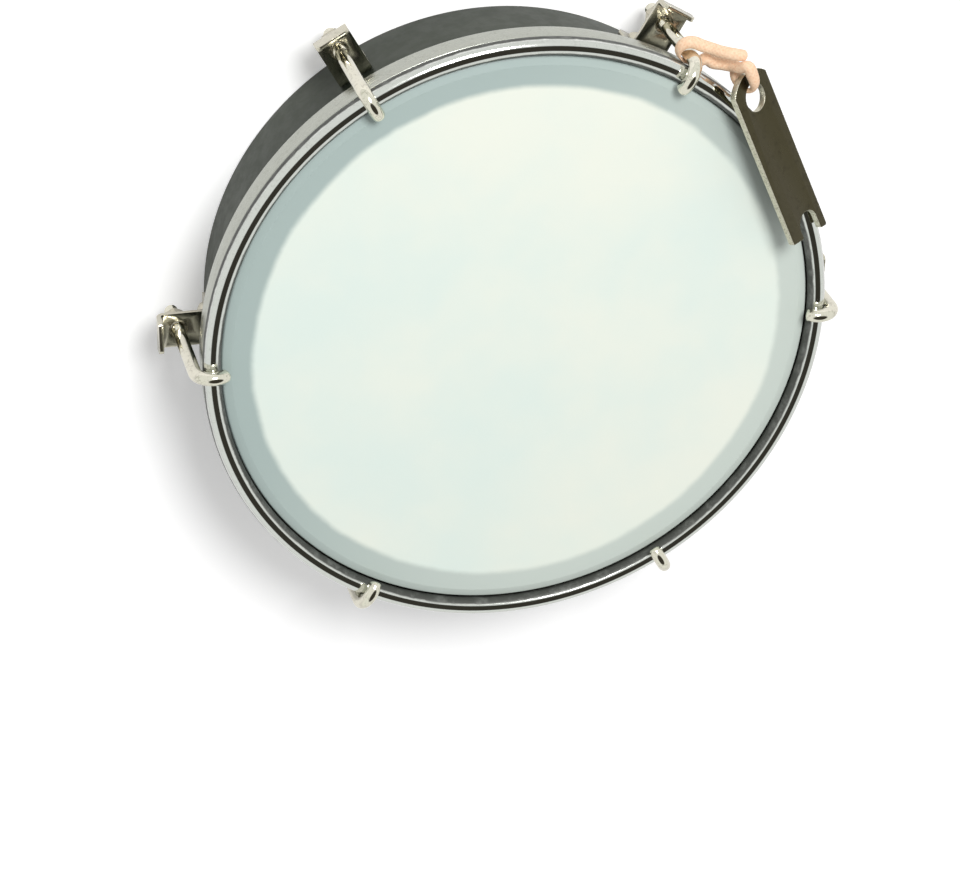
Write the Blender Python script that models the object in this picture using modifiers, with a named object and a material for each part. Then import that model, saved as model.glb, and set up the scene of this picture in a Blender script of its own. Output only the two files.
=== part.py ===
"""A tamborim: a small steel drum whose head is drawn tight by six hooks on a round hoop.

Metres. The shell's axis is Z, its open back edge lies on z = 0 and the head faces +Z.
Azimuths turn anticlockwise about Z, seen from the head, from +X. Angles are in degrees.
"""

import bisect
import math

import bmesh
import bpy
from mathutils import Matrix, Vector

# Gap left between pieces that touch
GAP = 0.0003

# Shell: a steel band with both edges turned in
SHELL_DIAMETER = 0.152
SHELL_DEPTH = 0.042
SHELL_WALL = 0.0015
SHELL_CORNER = 0.0008
BEARING_ROUND = 0.0005
BEARING_LIP = 0.0030
BACK_LIP = 0.0040

# Flesh hoop: a channel, open towards the head, that holds the film's edge
HOOP_PLAY = 0.0009
CHANNEL_SHEET = 0.0010
CHANNEL_WIDTH = 0.0063
CHANNEL_HEIGHT = 0.0076
CHANNEL_INNER_HEIGHT = 0.0048
CHANNEL_BEND = 0.0009

# Counter hoop: the round rod that the hooks pull down on the channel's outer wall
ROD_DIAMETER = 0.0047
ROD_ABOVE_EDGE = 0.0004
ROD_INSET = 0.0016

# Drumhead: film over the bearing edge, with a collar down into the channel
FILM = 0.0003
FILM_FROM_WALL = 0.0014
KNEE_FROM_COLLAR = 0.0006
KNEE_DROP = 0.0006
KNEE_BEND = 0.0006
COLLAR_DROP = 0.0024
COLLAR_SHOULDER = 0.0005
COLLAR_BEND = 0.0010

# Lug bracket: a bent strip with a foot on the shell, a shelf and a turned lip
LUG_COUNT = 6
BRACKET_SHEET = 0.0012
BRACKET_WIDTH = 0.0096
BRACKET_CORNER = 0.0014
BRACKET_BEND = 0.0014
SHELF_TOP = 0.0184
FOOT_HEIGHT = 0.0120
LIP_HEIGHT = 0.0044
LIP_FROM_HOOK = 0.0051
HOOK_HOLE_DIAMETER = 0.0050

# Rivet through the bracket's foot and the shell
RIVET_DIAMETER = 0.0032
RIVET_HEAD_DIAMETER = 0.0070
RIVET_HEAD_HEIGHT = 0.0020
RIVET_TAIL_DIAMETER = 0.0055
RIVET_TAIL_HEIGHT = 0.0013
RIVET_TAIL_FLAT = 0.0037
RIVET_FROM_FOOT_END = 0.0051

# Tension hook: a rod with a threaded end, bent over the counter hoop
HOOK_DIAMETER = 0.00355
HOOK_WRAP = 128
HOOK_TIP_LENGTH = 0.0008
HOOK_TIP_SHARE = 0.55
THREAD_BELOW_SHELF = 0.0105
THREAD_CHAMFER = 0.0006
THREAD_CHAMFER_SHARE = 0.75

# Hexagon nut behind the shelf
NUT_ACROSS_FLATS = 0.0070
NUT_HEIGHT = 0.0040

# Tuning key: a flat strip with an eye at one end and a skewed open jaw at the other
KEY_WIDTH = 0.0140
KEY_THICKNESS = 0.0018
KEY_CROWN = 0.0033
KEY_EYE_DIAMETER = 0.0074
KEY_EYE_TO_CROWN = 0.0070
KEY_EYE_TO_JAW = 0.0438
KEY_JAW_SKEW = 0.0029
KEY_JAW_CORNER = 0.0005
SLOT_PLAY = 0.0002
SLOT_DEPTH = 0.0078
SLOT_OFFSET = 0.0009

# How the key leans on the counter hoop, and the hook that its cord is tied to
KEY_HOOK = 2
KEY_AZIMUTH = 29.9
KEY_LEAN = 36.0
KEY_SKEW = 7.9
KEY_EYE_TO_TOUCH = 0.0265
KEY_TOUCH_OFFSET = 0.0051

# Key cord: a loop from its end round the hook, over the key's crown and through the key's eye.
# The last number of a knot is the share of the cord's thickness left where it is squeezed.
CORD_DIAMETER = 0.0032
CORD_SPACING = 0.0012
# Strands: offsets from the hook's axis at the rod's centre
CORD_START = (
    (0.0119, 0.0015, 0.0034, 0.90), (0.0101, 0.0018, 0.0034, 1), (0.0083, 0.0020, 0.0026, 1),
    (0.0064, 0.0021, 0.0011, 1), (0.0050, 0.0023, -0.0003, 1),
)
# Hitch: angle from the outward direction, distance from the hook's axis, height from the rod's centre
CORD_HITCH = (
    (-12, 0.0039, -0.0016, 1), (20, 0.0037, -0.0023, 1), (48, 0.0037, -0.0029, 0.95),
    (72, 0.0035, -0.0034, 0.82), (93, 0.0032, -0.0039, 0.60), (113, 0.0029, -0.0043, 0.40),
    (140, 0.0025, -0.0046, 0.20), (180, 0.0023, -0.0048, 0.13), (220, 0.0025, -0.0046, 0.20),
    (247, 0.0029, -0.0041, 0.40), (267, 0.0035, -0.0035, 0.65), (283, 0.0045, -0.0028, 0.88),
)
CORD_END = (
    (0.0060, -0.0023, -0.0024, 1), (0.0082, -0.0025, -0.0016, 1), (0.0101, -0.0026, -0.0001, 0.95),
    (0.0111, -0.0020, 0.0030, 0.88), (0.0125, -0.0007, 0.0057, 0.95), (0.0136, -0.0028, 0.0059, 1),
    (0.0144, -0.0051, 0.0058, 0.85), (0.0145, -0.0071, 0.0050, 0.50), (0.0139, -0.0081, 0.0038, 0.42),
    (0.0129, -0.0081, 0.0023, 0.55), (0.0118, -0.0064, 0.0005, 0.88), (0.0120, -0.0050, -0.0014, 1),
    (0.0133, -0.0052, -0.0036, 1), (0.0120, -0.0041, -0.0054, 1), (0.0100, -0.0027, -0.0060, 1),
)

# Fineness of the round shapes
RING_SEGMENTS = 72
ROD_SEGMENTS = 10
HOLE_SEGMENTS = 12
ARC_STEPS = 2
DOME_STEPS = 3
HOOK_ARC_STEPS = 8
HOOK_BEVEL_STEPS = 3
CORD_BEVEL_STEPS = 2
KEY_ARC_STEPS = 8
ROUTE_STEPS = 20
SHARP_ANGLE = 35
MERGE_DISTANCE = 0.00001

# Sizes that follow from those above
SHELL_RADIUS = SHELL_DIAMETER / 2
ROD_RADIUS = ROD_DIAMETER / 2
ROD_HEIGHT = SHELL_DEPTH + ROD_ABOVE_EDGE
CHANNEL_INSIDE = SHELL_RADIUS + HOOP_PLAY
CHANNEL_OUTSIDE = CHANNEL_INSIDE + CHANNEL_WIDTH
HOOP_RADIUS = CHANNEL_OUTSIDE - ROD_INSET
HOOK_BEND = ROD_RADIUS + GAP + HOOK_DIAMETER / 2
HOOK_RADIUS = HOOP_RADIUS + HOOK_BEND
SHELF_BACK = SHELF_TOP - BRACKET_SHEET
FOOT_FACE = SHELL_RADIUS + GAP + BRACKET_SHEET
RIVET_HEIGHT = SHELF_TOP - FOOT_HEIGHT + RIVET_FROM_FOOT_END
RIVET_HOLE_RADIUS = RIVET_DIAMETER / 2 + GAP
LUG_AZIMUTHS = [360 / LUG_COUNT * index for index in range(LUG_COUNT)]


def clear_scene():
    """Remove whatever the file holds, so that each run starts from nothing."""
    for old in list(bpy.data.objects):
        bpy.data.objects.remove(old)


def new_collection(name):
    """A collection linked to the scene."""
    collection = bpy.data.collections.new(name)
    bpy.context.scene.collection.children.link(collection)
    return collection


def linear(red, green, blue):
    """A colour given as it looks, in steps of 255, turned into the shader's own scale."""
    return tuple((channel / 255) ** 2.2 for channel in (red, green, blue)) + (1.0,)


def new_material(name, colour, roughness, metallic):
    """A Principled material."""
    material = bpy.data.materials.new(name)
    material.use_nodes = True
    shader = material.node_tree.nodes["Principled BSDF"]
    shader.inputs["Base Color"].default_value = colour
    shader.inputs["Roughness"].default_value = roughness
    shader.inputs["Metallic"].default_value = metallic
    return material


def polar(azimuth, radius, height):
    """The point at an azimuth, a distance from the drum's axis and a height."""
    angle = math.radians(azimuth)
    return Vector((radius * math.cos(angle), radius * math.sin(angle), height))


def rounded(corners):
    """The points of a flat outline whose corners are (x, y, radius)."""
    points = []
    for index, (x, y, radius) in enumerate(corners):
        corner = Vector((x, y))
        if radius == 0:
            points.append(corner)
            continue
        before = (Vector(corners[index - 1][:2]) - corner).normalized()
        after = (Vector(corners[(index + 1) % len(corners)][:2]) - corner).normalized()
        half = before.angle(after) / 2
        centre = corner + (before + after).normalized() * radius / math.sin(half)
        start = corner + before * radius / math.tan(half) - centre
        side = 1 if before.cross(after) < 0 else -1
        for step in range(ARC_STEPS + 1):
            turn = side * (math.pi - 2 * half) * step / ARC_STEPS
            points.append(centre + Matrix.Rotation(turn, 2) @ start)
    return points


def smooth_by_angle(mesh):
    """Smooth shading that leaves the real edges sharp."""
    mesh.shade_smooth()
    mesh.set_sharp_from_angle(angle=math.radians(SHARP_ANGLE))
    return mesh


def evaluated_mesh(body):
    """The mesh of an object with its modifiers applied. The object itself is removed."""
    depsgraph = bpy.context.evaluated_depsgraph_get()
    mesh = bpy.data.meshes.new_from_object(body.evaluated_get(depsgraph))
    bpy.data.objects.remove(body)
    return smooth_by_angle(mesh)


def linked(name, data, collection):
    """A new object in a collection."""
    made = bpy.data.objects.new(name, data)
    collection.objects.link(made)
    return made


def turned(name, points, closed, segments, sheet=0.0):
    """An object turned about Z from (radius, height) points that run down its outer side.

    It starts half a step round, so that a flat facet faces each lug.
    """
    start = math.pi / segments
    count = len(points)
    edges = [(index, (index + 1) % count) for index in range(count if closed else count - 1)]
    mesh = bpy.data.meshes.new(name)
    corners = [(radius * math.cos(start), radius * math.sin(start), height)
               for radius, height in points]
    mesh.from_pydata(corners, edges, [])
    body = linked(name, mesh, PARTS)
    screw = body.modifiers.new("turn", "SCREW")
    screw.axis = "Z"
    screw.steps = segments
    screw.render_steps = segments
    screw.use_merge_vertices = True
    screw.merge_threshold = MERGE_DISTANCE
    if sheet:
        wall = body.modifiers.new("sheet", "SOLIDIFY")
        wall.thickness = sheet
        wall.offset = 0
        wall.use_even_offset = True
    return body


def bore_cutter(name, diameter, start, end):
    """A cylinder from one point to another, kept as a cutter."""
    along = end - start
    bpy.ops.mesh.primitive_cylinder_add(
        vertices=HOLE_SEGMENTS, radius=diameter / 2, depth=along.length,
        location=(start + end) / 2, rotation=along.to_track_quat("Z", "Y").to_euler())
    cutter = bpy.context.active_object
    cutter.name = name
    for holder in list(cutter.users_collection):
        holder.objects.unlink(cutter)
    CUTTERS.objects.link(cutter)
    cutter.hide_render = True
    cutter.display_type = "WIRE"
    return cutter


def cut(body, cutters):
    """Take cutters out of an object with exact Booleans."""
    for cutter in cutters:
        boolean = body.modifiers.new(cutter.name, "BOOLEAN")
        boolean.operation = "DIFFERENCE"
        boolean.object = cutter
    return body


def rod_curve(name, points, shares, diameter, resolution):
    """A round rod along points; a share below 1 narrows it at its point."""
    curve = bpy.data.curves.new(name, "CURVE")
    curve.dimensions = "3D"
    curve.bevel_depth = diameter / 2
    curve.bevel_resolution = resolution
    curve.use_fill_caps = True
    spline = curve.splines.new("POLY")
    spline.points.add(len(points) - 1)
    for knot, point, share in zip(spline.points, points, shares):
        knot.co = (*point, 1)
        knot.radius = share
    return curve


def add_part(name, data, material, matrix=Matrix(), parent=None):
    """A named piece of the drum, placed by its matrix and held by its parent, if it has one."""
    if not data.materials:
        data.materials.append(material)
    part = linked(name, data, PARTS)
    part.parent = parent
    part.matrix_local = matrix
    return part


def shell_mesh(rivet_cutters):
    """The shell's wall, its two turned edges and its rivet holes."""
    inside = SHELL_RADIUS - SHELL_WALL
    section = rounded([
        (SHELL_RADIUS - BEARING_LIP, SHELL_DEPTH, BEARING_ROUND),
        (SHELL_RADIUS, SHELL_DEPTH, SHELL_CORNER),
        (SHELL_RADIUS, 0, SHELL_CORNER),
        (SHELL_RADIUS - BACK_LIP, 0, 0),
        (SHELL_RADIUS - BACK_LIP, SHELL_WALL, 0),
        (inside, SHELL_WALL, 0),
        (inside, SHELL_DEPTH - SHELL_WALL, 0),
        (SHELL_RADIUS - BEARING_LIP, SHELL_DEPTH - SHELL_WALL, 0),
    ])
    return evaluated_mesh(cut(turned("shell_section", section, True, RING_SEGMENTS), rivet_cutters))


def drumhead_mesh():
    """The film: flat over the shell, sloping off its corner, then down inside the channel."""
    level = SHELL_DEPTH + GAP + FILM / 2
    collar = CHANNEL_INSIDE + CHANNEL_SHEET + FILM_FROM_WALL
    bottom = channel_bottom() + CHANNEL_SHEET + GAP
    middle = rounded([
        (0, level, 0),
        (SHELL_RADIUS + COLLAR_SHOULDER, level, COLLAR_BEND),
        (collar - KNEE_FROM_COLLAR, level - KNEE_DROP, KNEE_BEND),
        (collar, level - COLLAR_DROP, COLLAR_BEND),
        (collar, bottom, 0),
    ])
    return evaluated_mesh(turned("film_section", middle, False, RING_SEGMENTS, FILM))


def channel_top():
    """Height of the channel's outer wall, which the rod rests on at the wall's inner corner."""
    reach = ROD_RADIUS + GAP
    across = ROD_INSET - CHANNEL_SHEET
    return ROD_HEIGHT - math.sqrt(reach ** 2 - across ** 2)


def channel_bottom():
    """Height of the channel's underside."""
    return channel_top() - CHANNEL_HEIGHT


def flesh_hoop_mesh():
    """The channel that grips the film's edge."""
    half = CHANNEL_SHEET / 2
    web = channel_bottom() + half
    middle = rounded([
        (CHANNEL_INSIDE + half, channel_bottom() + CHANNEL_INNER_HEIGHT, 0),
        (CHANNEL_INSIDE + half, web, CHANNEL_BEND),
        (CHANNEL_OUTSIDE - half, web, CHANNEL_BEND),
        (CHANNEL_OUTSIDE - half, channel_top(), 0),
    ])
    middle.reverse()
    return evaluated_mesh(turned("channel_section", middle, False, RING_SEGMENTS, CHANNEL_SHEET))


def counter_hoop_mesh():
    """The round rod ring."""
    bpy.ops.mesh.primitive_torus_add(
        major_segments=RING_SEGMENTS, minor_segments=ROD_SEGMENTS,
        major_radius=HOOP_RADIUS, minor_radius=ROD_RADIUS)
    ring = evaluated_mesh(bpy.context.active_object)
    ring.transform(Matrix.Rotation(math.pi / RING_SEGMENTS, 4, "Z"))
    return ring


def bracket_mesh(cutters):
    """The bent strip, in the hook's frame: x outwards from the hook's axis, z from the shelf's top."""
    half = BRACKET_SHEET / 2
    foot = FOOT_FACE - half - HOOK_RADIUS
    path = rounded([
        (foot, -FOOT_HEIGHT, 0),
        (foot, -half, BRACKET_BEND),
        (LIP_FROM_HOOK, -half, BRACKET_BEND),
        (LIP_FROM_HOOK, LIP_HEIGHT, 0),
    ])
    ends = []
    for step in range(2 * ARC_STEPS + 1):
        angle = math.pi / 2 * step / (2 * ARC_STEPS)
        inset = Vector((0, BRACKET_CORNER * (1 - math.cos(angle))))
        ends.append((inset, BRACKET_WIDTH / 2 - BRACKET_CORNER * (1 - math.sin(angle))))
    rows = [(path[0] + inset, breadth) for inset, breadth in ends]
    rows += [(point, BRACKET_WIDTH / 2) for point in path[1:-1]]
    rows += [(path[-1] - inset, breadth) for inset, breadth in reversed(ends)]
    mesh = bpy.data.meshes.new("bracket_strip")
    corners = [(point[0], side * breadth, point[1]) for point, breadth in rows for side in (-1, 1)]
    quads = [(at, at + 2, at + 3, at + 1) for at in range(0, len(corners) - 2, 2)]
    mesh.from_pydata(corners, [], quads)
    body = linked("bracket_strip", mesh, PARTS)
    wall = body.modifiers.new("sheet", "SOLIDIFY")
    wall.thickness = BRACKET_SHEET
    wall.offset = 0
    wall.use_even_offset = True
    return evaluated_mesh(cut(body, cutters))


def rivet_mesh():
    """The rivet, along z from the foot's face outwards."""
    head = GAP + RIVET_HEAD_HEIGHT
    tail = -(BRACKET_SHEET + GAP + SHELL_WALL + GAP)
    head_radius = RIVET_HEAD_DIAMETER / 2
    angles = [math.pi / 2 * step / DOME_STEPS for step in range(1, DOME_STEPS + 1)]
    dome = [(head_radius * math.sin(angle), GAP + RIVET_HEAD_HEIGHT * math.cos(angle))
            for angle in angles]
    section = [(0, head), *dome, (RIVET_DIAMETER / 2, GAP), (RIVET_DIAMETER / 2, tail),
               (RIVET_TAIL_DIAMETER / 2, tail),
               (RIVET_TAIL_DIAMETER / 2, tail - RIVET_TAIL_HEIGHT / 2),
               (RIVET_TAIL_FLAT / 2, tail - RIVET_TAIL_HEIGHT), (0, tail - RIVET_TAIL_HEIGHT)]
    return evaluated_mesh(turned("rivet_section", section, False, HOLE_SEGMENTS))


def hook_curve():
    """The hook: shank up along z from its threaded end, then over the rod towards the head."""
    start = SHELF_BACK - THREAD_BELOW_SHELF
    knots = [(0, start, THREAD_CHAMFER_SHARE), (0, start + THREAD_CHAMFER, 1)]
    for step in range(HOOK_ARC_STEPS + 1):
        turn = math.radians(HOOK_WRAP) * step / HOOK_ARC_STEPS
        knots.append((HOOK_BEND * (math.cos(turn) - 1), ROD_HEIGHT + HOOK_BEND * math.sin(turn), 1))
    last = math.radians(HOOK_WRAP)
    knots.append((knots[-1][0] - HOOK_TIP_LENGTH * math.sin(last),
                  knots[-1][1] + HOOK_TIP_LENGTH * math.cos(last), HOOK_TIP_SHARE))
    points = [(x, 0, z) for x, z, share in knots]
    shares = [share for x, z, share in knots]
    return rod_curve("hook_rod", points, shares, HOOK_DIAMETER, HOOK_BEVEL_STEPS)


def nut_mesh():
    """The hexagon nut, with its bore, centred on its own axis."""
    mesh = bpy.data.meshes.new("nut_blank")
    shape = bmesh.new()
    across_corners = NUT_ACROSS_FLATS / math.cos(math.pi / 6)
    bmesh.ops.create_cone(shape, cap_ends=True, segments=6, radius1=across_corners / 2,
                          radius2=across_corners / 2, depth=NUT_HEIGHT)
    shape.to_mesh(mesh)
    shape.free()
    bore = bore_cutter("nut_bore", HOOK_DIAMETER + 2 * GAP,
                       Vector((0, 0, -NUT_HEIGHT)), Vector((0, 0, NUT_HEIGHT)))
    return evaluated_mesh(cut(linked("nut_blank", mesh, PARTS), [bore]))


def circle(centre, radius, first, last, steps):
    """Points along an arc, from one angle to another."""
    angles = [math.radians(first + (last - first) * step / steps) for step in range(steps + 1)]
    return [(centre[0] + radius * math.cos(angle), centre[1] + radius * math.sin(angle))
            for angle in angles]


def key_mesh():
    """The key, flat: x from its eye to its jaw, y towards its outer edge, z towards its face."""
    half = KEY_WIDTH / 2
    slot = (NUT_ACROSS_FLATS + SLOT_PLAY) / 2
    slot_centre = KEY_EYE_TO_JAW - SLOT_DEPTH + slot

    def jaw(across):
        """How far the skewed jaw reaches at a distance across the key."""
        return KEY_EYE_TO_JAW - KEY_JAW_SKEW * (half - across) / KEY_WIDTH

    shoulder = KEY_CROWN - KEY_EYE_TO_CROWN
    crown_radius = (half ** 2 + KEY_CROWN ** 2) / (2 * KEY_CROWN)
    crown_half = math.degrees(math.asin(half / crown_radius))
    crown_centre = (crown_radius - KEY_EYE_TO_CROWN, 0)
    crown = circle(crown_centre, crown_radius, 180 - crown_half, 180 + crown_half, KEY_ARC_STEPS)
    slot_end = circle((slot_centre, SLOT_OFFSET), slot, 270, 90, KEY_ARC_STEPS)
    outline = rounded([
        (shoulder, -half, 0),
        (jaw(-half), -half, KEY_JAW_CORNER),
        (jaw(SLOT_OFFSET - slot), SLOT_OFFSET - slot, KEY_JAW_CORNER),
        *[(x, y, 0) for x, y in slot_end],
        (jaw(SLOT_OFFSET + slot), SLOT_OFFSET + slot, KEY_JAW_CORNER),
        (jaw(half), half, KEY_JAW_CORNER),
        (shoulder, half, 0),
        *[(x, y, 0) for x, y in crown[1:-1]],
    ])
    eye = circle((0, 0), KEY_EYE_DIAMETER / 2, 0, 360, 2 * KEY_ARC_STEPS)[:-1]
    curve = bpy.data.curves.new("key_outline", "CURVE")
    curve.dimensions = "2D"
    curve.fill_mode = "BOTH"
    curve.extrude = KEY_THICKNESS / 2
    for loop in (outline, eye):
        spline = curve.splines.new("POLY")
        spline.use_cyclic_u = True
        spline.points.add(len(loop) - 1)
        for knot, point in zip(spline.points, loop):
            knot.co = (point[0], point[1], 0, 1)
    mesh = evaluated_mesh(linked("key_outline", curve, PARTS))
    weld(mesh)
    return smooth_by_angle(mesh)


def weld(mesh):
    """Join the loose caps and sides of a mesh that was a curve."""
    shape = bmesh.new()
    shape.from_mesh(mesh)
    bmesh.ops.remove_doubles(shape, verts=shape.verts, dist=MERGE_DISTANCE)
    shape.to_mesh(mesh)
    shape.free()


def key_matrix():
    """The key's place: its underside rests on the counter hoop, beside its outer edge."""
    outwards = Matrix.Rotation(math.radians(KEY_AZIMUTH), 4, "Z")
    leaning = Matrix.Rotation(math.radians(KEY_LEAN), 4, "Y")
    turn = outwards @ leaning @ Matrix.Rotation(math.radians(-90 - KEY_SKEW), 4, "Z")
    along, across, face = (turn.to_3x3().col[axis] for axis in range(3))
    rod_centre = polar(KEY_AZIMUTH, HOOP_RADIUS, ROD_HEIGHT)
    touch = rod_centre + face * (ROD_RADIUS + GAP + KEY_THICKNESS / 2)
    eye = touch - along * KEY_EYE_TO_TOUCH - across * KEY_TOUCH_OFFSET
    return Matrix.Translation(eye) @ turn


def smooth_route(points):
    """Evenly spaced points on a smooth curve through the given ones, whose last number is a share."""
    ends = [2 * points[0] - points[1], *points, 2 * points[-1] - points[-2]]
    fine = []
    for before, start, end, after in zip(ends, ends[1:], ends[2:], ends[3:]):
        for step in range(ROUTE_STEPS):
            t = step / ROUTE_STEPS
            fine.append(0.5 * (2 * start + (end - before) * t
                               + (2 * before - 5 * start + 4 * end - after) * t ** 2
                               + (3 * start - before - 3 * end + after) * t ** 3))
    fine.append(points[-1])
    lengths = [0.0]
    for start, end in zip(fine, fine[1:]):
        lengths.append(lengths[-1] + (end - start).to_3d().length)
    count = round(lengths[-1] / CORD_SPACING)
    route = []
    for step in range(count + 1):
        wanted = lengths[-1] * step / count
        index = min(max(1, bisect.bisect_left(lengths, wanted)), len(lengths) - 1)
        share = (wanted - lengths[index - 1]) / (lengths[index] - lengths[index - 1])
        route.append(fine[index - 1].lerp(fine[index], share))
    return route


def cord_curve(hook_axis, azimuth):
    """The cord: from its end round the hook, through the key's eye and back behind the key."""
    def strand(knots):
        """Points off the hook's axis, with their shares of the cord's thickness."""
        return [Vector((*(hook_axis + Vector(offset)), share)) for *offset, share in knots]

    hitch = [Vector((*(hook_axis + polar(azimuth + angle, distance, height)), share))
             for angle, distance, height, share in CORD_HITCH]
    route = smooth_route(strand(CORD_START) + hitch + strand(CORD_END))
    points = [knot.to_3d() for knot in route]
    return rod_curve("cord_rod", points, [knot.w for knot in route], CORD_DIAMETER, CORD_BEVEL_STEPS)


def build():
    """Make every piece and put it in its place."""
    nickel = new_material("nickel_plate", linear(196, 192, 178), 0.22, 1.0)
    chrome = new_material("chrome_plate", linear(205, 207, 203), 0.08, 1.0)
    satin = new_material("satin_plate", linear(190, 189, 180), 0.35, 1.0)
    painted = new_material("shell_paint", linear(70, 74, 72), 0.45, 0.2)
    film = new_material("head_film", linear(222, 232, 224), 0.40, 0.0)
    dark_steel = new_material("key_steel", linear(120, 114, 96), 0.30, 1.0)
    peach = new_material("cord_sheath", linear(240, 190, 150), 0.60, 0.0)

    rivet_cutters = []
    for azimuth in LUG_AZIMUTHS:
        start = polar(azimuth, SHELL_RADIUS - 2 * SHELL_WALL, RIVET_HEIGHT)
        end = polar(azimuth, SHELL_RADIUS + 2 * SHELL_WALL, RIVET_HEIGHT)
        rivet_cutters.append(bore_cutter("shell_rivet_hole", 2 * RIVET_HOLE_RADIUS, start, end))
    add_part("shell", shell_mesh(rivet_cutters), painted)
    add_part("drumhead", drumhead_mesh(), film)
    add_part("flesh_hoop", flesh_hoop_mesh(), satin)
    add_part("counter_hoop", counter_hoop_mesh(), chrome, Matrix.Translation((0, 0, ROD_HEIGHT)))

    foot = FOOT_FACE - BRACKET_SHEET / 2 - HOOK_RADIUS
    rivet_level = RIVET_HEIGHT - SHELF_TOP
    bracket_cutters = [
        bore_cutter("bracket_hook_hole", HOOK_HOLE_DIAMETER,
                    Vector((0, 0, -2 * BRACKET_SHEET)), Vector((0, 0, BRACKET_SHEET))),
        bore_cutter("bracket_rivet_hole", 2 * RIVET_HOLE_RADIUS,
                    Vector((foot - BRACKET_SHEET, 0, rivet_level)),
                    Vector((foot + BRACKET_SHEET, 0, rivet_level))),
    ]
    bracket = bracket_mesh(bracket_cutters)
    rivet = rivet_mesh()
    hook = hook_curve()
    nut = nut_mesh()
    for number, azimuth in enumerate(LUG_AZIMUTHS, start=1):
        spin = Matrix.Rotation(math.radians(azimuth), 4, "Z")
        outwards = spin @ Matrix.Rotation(math.pi / 2, 4, "Y")

        def at(radius, height, turn):
            """A placing at this lug's azimuth."""
            return Matrix.Translation(polar(azimuth, radius, height)) @ turn

        add_part(f"lug_bracket_{number}", bracket, nickel, at(HOOK_RADIUS, SHELF_TOP, spin))
        add_part(f"bracket_rivet_{number}", rivet, nickel, at(FOOT_FACE, RIVET_HEIGHT, outwards))
        add_part(f"tension_hook_{number}", hook, nickel, at(HOOK_RADIUS, 0, spin))
        nut_centre = SHELF_BACK - GAP - NUT_HEIGHT / 2
        add_part(f"hook_nut_{number}", nut, nickel, at(HOOK_RADIUS, nut_centre, spin))

    key_hook_azimuth = LUG_AZIMUTHS[KEY_HOOK - 1]
    hook_axis = polar(key_hook_azimuth, HOOK_RADIUS, ROD_HEIGHT)
    swing = linked("key_swing_axis", None, PARTS)
    swing.location = hook_axis
    to_swing = Matrix.Translation(-hook_axis)
    add_part("tuning_key", key_mesh(), dark_steel, to_swing @ key_matrix(), swing)
    add_part("key_cord", cord_curve(hook_axis, key_hook_azimuth), peach, to_swing, swing)


clear_scene()
PARTS = new_collection("tamborim")
CUTTERS = new_collection("cutters")
build()
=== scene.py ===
import logging
import math
from collections.abc import Callable, Sequence
from dataclasses import dataclass, field
from enum import Enum
from functools import reduce

import bmesh
import bpy
from mathutils import Matrix, Vector


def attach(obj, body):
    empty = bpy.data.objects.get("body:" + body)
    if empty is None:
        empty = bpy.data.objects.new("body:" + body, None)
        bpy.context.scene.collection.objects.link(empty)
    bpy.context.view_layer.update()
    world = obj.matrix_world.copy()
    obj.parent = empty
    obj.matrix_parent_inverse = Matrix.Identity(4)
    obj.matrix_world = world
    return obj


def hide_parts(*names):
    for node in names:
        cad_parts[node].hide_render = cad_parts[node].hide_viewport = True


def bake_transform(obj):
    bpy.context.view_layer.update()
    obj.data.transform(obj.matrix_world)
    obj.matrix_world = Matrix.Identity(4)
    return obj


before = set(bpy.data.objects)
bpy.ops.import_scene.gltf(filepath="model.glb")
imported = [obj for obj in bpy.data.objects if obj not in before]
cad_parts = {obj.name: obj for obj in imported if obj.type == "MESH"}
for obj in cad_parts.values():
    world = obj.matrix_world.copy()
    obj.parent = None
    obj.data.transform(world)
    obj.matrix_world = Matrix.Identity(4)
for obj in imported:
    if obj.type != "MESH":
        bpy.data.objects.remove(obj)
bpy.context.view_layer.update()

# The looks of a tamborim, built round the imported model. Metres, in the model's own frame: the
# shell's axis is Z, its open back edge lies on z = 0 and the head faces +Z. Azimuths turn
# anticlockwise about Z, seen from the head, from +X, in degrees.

GAP = 0.0003  # what the model leaves free between two pieces that rest on each other
MERGE_DISTANCE = 0.000002
ARC_STEPS = 8
SHEET_END_STEPS = 6
BEVEL_STEPS = 3
SHARP_ANGLE = 40.0
BEVELLED_SHARP_ANGLE = 60.0
RIM_RADIUS = 0.08
COLOUR_MIX_INPUTS = (0, 6, 7)  # the Mix node's sockets for a share and two colours
COLOUR_MIX_OUTPUT = 2
LOG = logging.getLogger("tamborim")

Colour = tuple[float, float, float, float]
Triple = tuple[float, float, float]
Knots = tuple[tuple[float, float, float, float], ...]
Socket = bpy.types.NodeSocket
Outputs = bpy.types.bpy_prop_collection
Feed = Socket | float | int | bool | Sequence[float] | bpy.types.Material


class Slot(Enum):
    """The record's material slots, one for each finish of the drum."""

    SHELL = "shell"
    DRUMHEAD = "drumhead"
    FLESH_HOOP = "flesh_hoop"
    COUNTER_HOOP = "counter_hoop"
    BRACKET = "bracket"
    RIVET = "rivet"
    HOOK = "hook"
    NUT = "nut"
    KEY = "key"
    CORD = "cord"


class Body(Enum):
    """The bodies that pieces ride on, apart from the numbered hooks and nuts."""

    DRUM = "drum"
    KEY = "key"


@dataclass(frozen=True)
class Noise:
    """A noise texture, and the two of its values that a look fades between."""

    detail: float
    roughness: float
    start: float
    end: float


GRAIN = Noise(4.0, 0.6, 0.3, 0.7)
STAIN_PATCHES = Noise(3.0, 0.7, 0.42, 0.68)
STAIN_DOTS = Noise(2.0, 0.5, 0.40, 0.66)
STAIN_DOT_FINENESS = 3.1
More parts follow.
